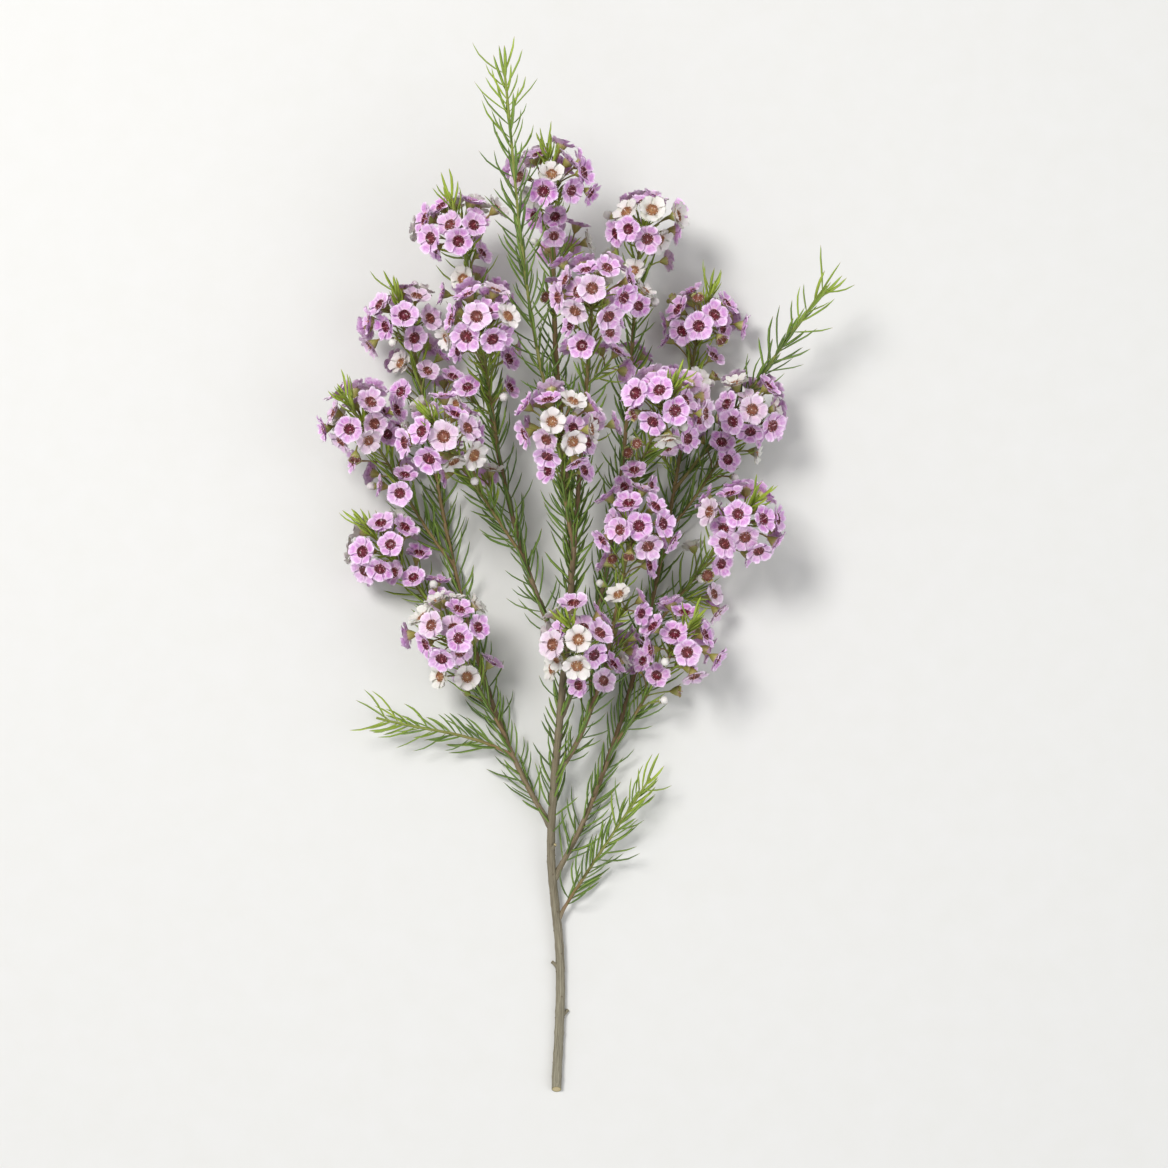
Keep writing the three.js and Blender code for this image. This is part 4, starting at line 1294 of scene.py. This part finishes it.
def write_mesh(name, form):
    parts = form.parts
    points = (np.concatenate([part.points for part in parts]) + CUT_END) / 1000
    points[:, 2] = np.maximum(points[:, 2], 0.0)
    firsts = np.cumsum([0, *(len(part.points) for part in parts)])
    faces = np.concatenate([part.faces + first for part, first in zip(parts, firsts)])
    slots = np.repeat([part.slot for part in parts], [len(part.faces) for part in parts])
    is_triangle = faces[:, 2] == faces[:, 3]
    keep = np.ones(faces.shape, bool)
    keep[is_triangle, 3] = False
    corners = faces[keep]
    mesh = bpy.data.meshes.new(name)
    mesh.vertices.add(len(points))
    mesh.vertices.foreach_set("co", points.ravel())
    mesh.loops.add(len(corners))
    mesh.loops.foreach_set("vertex_index", corners)
    mesh.polygons.add(len(faces))
    totals = np.where(is_triangle, 3, 4)
    mesh.polygons.foreach_set("loop_start", np.concatenate([[0], np.cumsum(totals)[:-1]]))
    used = sorted(set(slots.tolist()))
    mesh.polygons.foreach_set("material_index", np.searchsorted(used, slots))
    for slot in used:
        mesh.materials.append(materials[slot])
    for key in FIELDS:
        layer = mesh.attributes.new(key, "FLOAT", "POINT")
        layer.data.foreach_set("value", np.concatenate([part.fields[key] for part in parts]))
    layer = mesh.attributes.new("grain", "FLOAT_VECTOR", "POINT")
    layer.data.foreach_set("vector", np.concatenate([part.grain for part in parts]).ravel())
    mesh.update(calc_edges=True)
    mesh.shade_smooth()
    return mesh


def write_piece(node, form):
    piece = bpy.data.objects.new(f"{node}_full", write_mesh(f"{node}_full", form))
    bpy.context.collection.objects.link(piece)
    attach(piece, "root")
    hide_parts(node)


# Twigs: rings every couple of millimetres, swollen where they leave and at each pair of leaves.
TUBE_STEP = 1.8
STEM_SLIMNESS = 0.92
NODE_SWELL = Record(share=0.10, length=1.3)
FORK_FLARE = Record(share=0.5, reach=2.4, extra=1.5)
# How far along an axis its foot is pulled back into its bearer and thinned, in the bearer's radii.
FORK_BURIED = Record(length=3.2, pull=1.8, thin_length=2, thinnest=0.4)
OLD_FOOT = 12
REST_HEIGHT = 0.93
CUT_START = 3.0
WOODY_NODE_STEP = 11.5
FIRST_WOODY_NODE = 30
SCARRED = (14, 132)
STEM_SIDES = 20
LEADER_SIDES = 14
CUT_SIDES = 24


def bark_radius(axis, distance):
    return radius_on(axis, distance) * (1 if axis is main else STEM_SLIMNESS)


def waved_bark():
    phase = rng.uniform(0, 6.28, 3)

    def profile(run, angles):
        waves = np.sin(angles * 3 + run * 0.11 + phase[0]) + np.sin(angles * 5 - run * 0.23 + phase[1])
        return 1 + 0.022 * waves + 0.012 * np.sin(run * 0.7 + phase[2] + 2 * angles)

    return profile


def grow_tube(node, axis, first, last, sides, node_step, node_start, rest=False):
    """An axis's bark, swollen at its nodes. It curves out of what bears it, flared and as old as that."""
    fork = axis.fork
    distances = np.linspace(first, last, max(4, round((last - first) / TUBE_STEP)) + 1)
    places, alongs, radii = [], [], []
    for distance in distances:
        place, along = axis.path.smooth(distance)
        nearest = (distance - node_start) / node_step
        from_node = (nearest - round(nearest)) * node_step
        swell = 1 + NODE_SWELL.share * math.exp(-((from_node / NODE_SWELL.length) ** 2))
        radius = bark_radius(axis, distance)
        if fork:
            flare = FORK_FLARE.reach * fork.radius + FORK_FLARE.extra
            swell += FORK_FLARE.share * math.exp(-((distance / flare) ** 2))
            buried = max(0, 1 - distance / (FORK_BURIED.length * fork.radius))
            place = place - fork.along * FORK_BURIED.pull * fork.radius * buried**2
            thinned = smooth_step(0, FORK_BURIED.thin_length * fork.radius, distance)
            swell *= FORK_BURIED.thinnest + (1 - FORK_BURIED.thinnest) * thinned
        radius *= swell
        if rest:
            place[2] = max(place[2], radius * REST_HEIGHT)
        places.append(place)
        alongs.append(along)
        radii.append(radius)
    age = age_on(axis, distances)
    if fork:
        alongs = [towards(a, b) for a, b in zip(places[:1] + places, places[1:] + places[-1:])]
        age = age + (fork.age - age[0]) * np.exp(-distances / OLD_FOOT)
    tube(form_of(node), places, radii, sides, STALK, alongs, profile=waved_bark(), age=age,
         grain_scale=float(np.mean(radii)))
    return places[0], alongs[0], radii[0]


def add_scars(node, axis, first, last, step):
    """Pairs of pale leaf scars on the bare stretch, a quarter turn from one pair to the next."""
    scar = Form()
    ball(scar, np.zeros(3), 0.55, STALK, rings=6, sides=8, stretch=0.75, age=0.9, tone=0.75)
    turn, distance = 0.4, first
    while distance < last:
        place, along = axis.path.smooth(distance)
        for half in (0, math.pi):
            outward = leaning(along, math.pi / 2, turn + half + rng.normal(0, 0.1))
            middle = place + outward * radius_on(axis, distance) * 0.98
            if middle[2] > 1.2:
                turning = np.stack([np.cross(along, outward), outward * 0.7, along])
                form_of(node).add_placed(scar, lambda points: middle + points @ turning)
        turn += math.pi / 2
        distance += step * rng.uniform(0.85, 1.15)


def add_cut(node, place, along, radius, slant):
    """A cut face across an axis: a disc that slants and shows the wood's rings."""
    angles = ring_angles(CUT_SIDES)
    ring = ring_of(*across(along), angles)
    shares = np.linspace(1, 0, 7)
    rings = []
    for level in radius * np.maximum(shares, 0.02):
        back = level * np.sin(angles) * math.tan(slant)
        rings.append(place + level * ring + back[:, None] * along)
    form_of(node).add_rings(rings, CUT_WOOD, grain=np.array(rings) / 3, share=shares)


def add_slanted_end(node, foot, along, radius, slant):
    """The bark between the slanted cut and the first of the stem's square rings."""
    angles = ring_angles(CUT_SIDES)
    ring = ring_of(*across(along), angles)
    rings, grain = [], []
    for share in np.linspace(0, 1, 5):
        back = radius * np.sin(angles) * math.tan(slant) * (1 - share) + (CUT_START + 0.6) * share
        rings.append(foot + radius * ring + back[:, None] * along)
        grain.append(stacked(np.cos(angles) * radius, np.sin(angles) * radius, back / 10))
    form_of(node).add_rings(rings, STALK, grain=grain, age=1.0)


def add_stub(node, at, turn):
    """What is left of a twig that was stripped."""
    place, along = main.path.smooth(at)
    place = place + UP * max(0, radius_on(main, at) * REST_HEIGHT - place[2])
    heading = leaning(along, math.radians(TWIG_STUB.angle), math.radians(turn))
    stations = np.linspace(0, TWIG_STUB.length, 8)
    radii = [TWIG_STUB.radius * (1 + 0.5 * math.exp(-(((d - 2.2) / 1.6) ** 2))) for d in stations]
    places = [place + heading * d for d in stations]
    tube(form_of(node), places, radii, 10, STALK, [heading] * len(places), age=0.85)
    add_cut(node, places[-1], heading, radii[-1], math.radians(12))


def grow_woody_stem():
    """The main stem, with its slanted cut and the stubs of twigs that were stripped."""
    node, slant = "woody_stem", math.radians(CUT_SLANT)
    first, along, radius = grow_tube(
        node, main, CUT_START, WOODY_LENGTH, STEM_SIDES, WOODY_NODE_STEP, FIRST_WOODY_NODE, rest=True,
    )
    foot = first - along * CUT_START
    add_slanted_end(node, foot, along, radius, slant)
    add_cut(node, foot, along, radius, slant)
    for at, turn in TWIG_STUBS:
        add_stub(node, at, turn)
    add_scars(node, main, *SCARRED, WOODY_NODE_STEP)


grow_woody_stem()
grow_tube("leader", main, WOODY_LENGTH - 0.5, main.path.length, LEADER_SIDES, MAIN.pair_step / 3,
          LEADER_LEAVES.bare)
for axis in axes:
    kind = axis.kind
    grow_tube(axis.name, axis, 0, axis.path.length, kind.sides, kind.pair_step / kind.finer, kind.bare)
for tuft in tufts:
    grow_tube(tuft.name, tuft, 0, tuft.path.length, TUFT.sides, TUFT.pair_step / 2, TUFT.bare)

# Leaves. Those of the solids come first, at full width, and the rest a little finer.
for i, (node, root, tip, along, youth) in enumerate(leaves):
    tone = rng.uniform(0, 1)
    youth = min(1.0, youth + 0.35) if node.startswith(("tuft", "spray")) else youth * 0.75 + 0.12
    half_width, outline = (0.88, LEAF_SECTION) if i < solid_leaf_count else (0.74, FINE_LEAF_SECTION)
    half_width *= 0.70 + 0.30 * min(1, np.linalg.norm(tip - root) / 18)
    add_leaf(form_of(node), root, tip, along, youth, tone, rng.uniform(*LEAF_BOW), half_width, outline)

# Sprays: rachis, pedicels, flowers and buds.
OPENINGS = (1, 0.97, 0.92, 1, 0.88, 0.95, 0.8, 0.9)
YOUNG_OPENINGS = (0.9, 0.7, 0.5, 0.3)
open_forms = [make_flower(500 + i, opening) for i, opening in enumerate(OPENINGS)]
young_forms = [make_flower(600 + i, opening) for i, opening in enumerate(YOUNG_OPENINGS)]
spent_forms = [make_flower(700, 1, spent=True)]
bud_forms = [make_bud(800 + i) for i in range(3)]
SPENT_SHARE = 0.05
SPENT_AGE = 0.6
# Few flowers are white in most sprays, and more in some.
WHITE_SHARE = 0.07
WHITER_SHARE = 0.22
WHITER_SPRAYS = 0.4
RACHIS_RINGS = 12
YOUNG_WOOD = 0.05


def add_rachis(form, layout):
    """The stalk that bears a dome's flowers, with a swelling where each few of them leave."""
    bearer, rings = layout.bearer, np.arange(RACHIS_RINGS)
    up = rings / (RACHIS_RINGS - 1)
    distances = np.linspace(-RACHIS_BELOW - 1.0, RACHIS_ABOVE, RACHIS_RINGS)
    places = [layout.hub + layout.heading * distance for distance in distances]
    foot_radius = bark_radius(bearer, bearer.path.length)
    tip_radius = 0.6 if layout.form.tuft else 0.35
    radii = (foot_radius + (tip_radius - foot_radius) * up**1.3) * (1 + 0.10 * np.sin(rings * 2.1) * up)
    age = YOUNG_WOOD + (bearer.kind.wood[1] - YOUNG_WOOD) * (1 - up)
    tube(form, places, radii, 9, STALK, [layout.heading] * RACHIS_RINGS, age=age, grain_scale=0.9)


def add_group_stalk(form, root, knot):
    places = [root + (knot - root) * t for t in np.linspace(0, 1, 7)]
    radii = GROUP.radius * np.linspace(1.1, 0.75, 7)
    tube(form, places, radii, 7, STALK, [towards(root, knot)] * 7, age=0.08, grain_scale=0.5)


def add_pedicel(form, head):
    """A slender stalk that bends from its root's direction into its flower's axis."""
    span = np.linalg.norm(head.foot - head.root)
    leave = unit(towards(head.root, head.foot) + head.leave * 0.55)
    bends = (head.root + leave * span * 0.33, head.foot - head.axis * span * 0.3)
    curve = bezier(head.root, *bends, head.foot)
    steps = np.linspace(0, 1, 7)
    alongs = [towards(curve(max(t - 0.01, 0)), curve(min(t + 0.01, 1))) for t in steps]
    radii = 0.36 + 0.10 * (1 - steps) ** 3 + 0.18 * steps**5
    tube(form, [curve(t) for t in steps], radii, 6, STALK, alongs,
         age=rng.uniform(0.02, 0.34) + 0.06 * steps, grain_scale=0.4)


def add_flower(form, head, white_share, is_added):
    """One of the ready forms, turned and sized to its place, at an age of its own."""
    is_white = head.is_bud or rng.uniform() < white_share
    age = rng.uniform(0.0, 0.16) if is_white else 1 - 0.55 * rng.uniform(0, 1) ** 5
    choices = bud_forms if head.is_bud else young_forms if is_white else open_forms
    if is_added and not is_white and rng.uniform() < SPENT_SHARE:
        choices, age = spent_forms, SPENT_AGE
    shape = choices[int(rng.integers(len(choices)))]
    shade = rng.uniform(-0.35, 0.35)
    side, lift = across(head.axis)
    cos, sin = math.cos(head.turn), math.sin(head.turn)
    turning = np.stack([side * cos + lift * sin, lift * cos - side * sin, head.axis]) * head.size
    form.add_placed(
        shape, lambda points: head.foot + points @ turning,
        age=lambda old: np.full_like(old, age),
        tone=lambda old: np.clip(old + shade * (old < 0.99) * 0.6, 0, 1),
    )


for layout in sprays:
    form = form_of(layout.name)
    add_rachis(form, layout)
    for root, knot in layout.groups:
        add_group_stalk(form, root, knot)
    white_share = WHITER_SHARE if rng.uniform(0, 1) > 1 - WHITER_SPRAYS else WHITE_SHARE
    solid_heads = layout.form.flowers + layout.form.buds
    for number, head in enumerate(layout.heads):
        add_pedicel(form, head)
        add_flower(form, head, white_share, number >= solid_heads)

for node, form in forms.items():
    write_piece(node, form)

# ---------- floor, light and camera ----------

FLOOR_HALF = 8
FLOOR_DROP = 0.0002
LIT_MIDDLE = Vector((0, 0, 0.04))
CAMERA_MIDDLE = Vector((0.0, 0.0, 0.035))
CAMERA_TILT = math.radians(86)
CAMERA_DISTANCE = 1.20
# For each light: its place and size in metres, its power and its colour.
LIGHTS = {
    "key": ((-0.8, 0.7, 1.9), 0.75, 34, (1.0, 0.985, 0.96)),
    "fill": ((1.4, -0.3, 1.5), 1.6, 9, (0.96, 0.98, 1.0)),
    "low": ((0.0, -1.6, 0.7), 1.2, 4, (1, 1, 1)),
}


def floor_material():
    look = Shader("floor_paper")
    grain = look.noise(60.0, detail=5.0, vector=look.node("TexCoord", {}, "Object"))
    look.base = look.ramp(grain, (0.3, 217, 217, 215), (0.7, 219, 219, 218))
    return look.finish(grain, 0.8, 0.95)


def stand(name, data, place, target):
    """Puts a light or the camera at a place, turned to a target."""
    item = bpy.data.objects.new(name, data)
    item.location = place
    item.rotation_euler = (target - Vector(place)).to_track_quat("-Z", "Y").to_euler()
    bpy.context.collection.objects.link(item)
    return item


floor_mesh = bpy.data.meshes.new("floor")
floor_corners = [(x * FLOOR_HALF, y * FLOOR_HALF, 0) for x, y in ((-1, -1), (1, -1), (1, 1), (-1, 1))]
floor_mesh.from_pydata(floor_corners, [], [(0, 1, 2, 3)])
floor_mesh.materials.append(floor_material())
floor = bpy.data.objects.new("floor", floor_mesh)
bpy.context.collection.objects.link(floor)
floor.location.z = -FLOOR_DROP

for name, (place, size, power, colour) in LIGHTS.items():
    light = bpy.data.lights.new(name, "AREA")
    light.shape = "DISK"
    light.size = size
    light.energy = power
    light.color = colour
    stand(name, light, place, LIT_MIDDLE)

world = bpy.data.worlds.new("studio")
bpy.context.scene.world = world
world.use_nodes = True
background = world.node_tree.nodes["Background"]
background.inputs["Color"].default_value = (1.0, 1.0, 1.0, 1)
background.inputs["Strength"].default_value = 0.50
bpy.context.scene.view_settings.view_transform = "Standard"

camera_data = bpy.data.cameras.new("camera")
camera_data.lens = 70
camera_data.sensor_width = 36
camera_offset = Vector((0, -math.cos(CAMERA_TILT), math.sin(CAMERA_TILT))) * CAMERA_DISTANCE
bpy.context.scene.camera = stand("camera", camera_data, CAMERA_MIDDLE + camera_offset, CAMERA_MIDDLE)
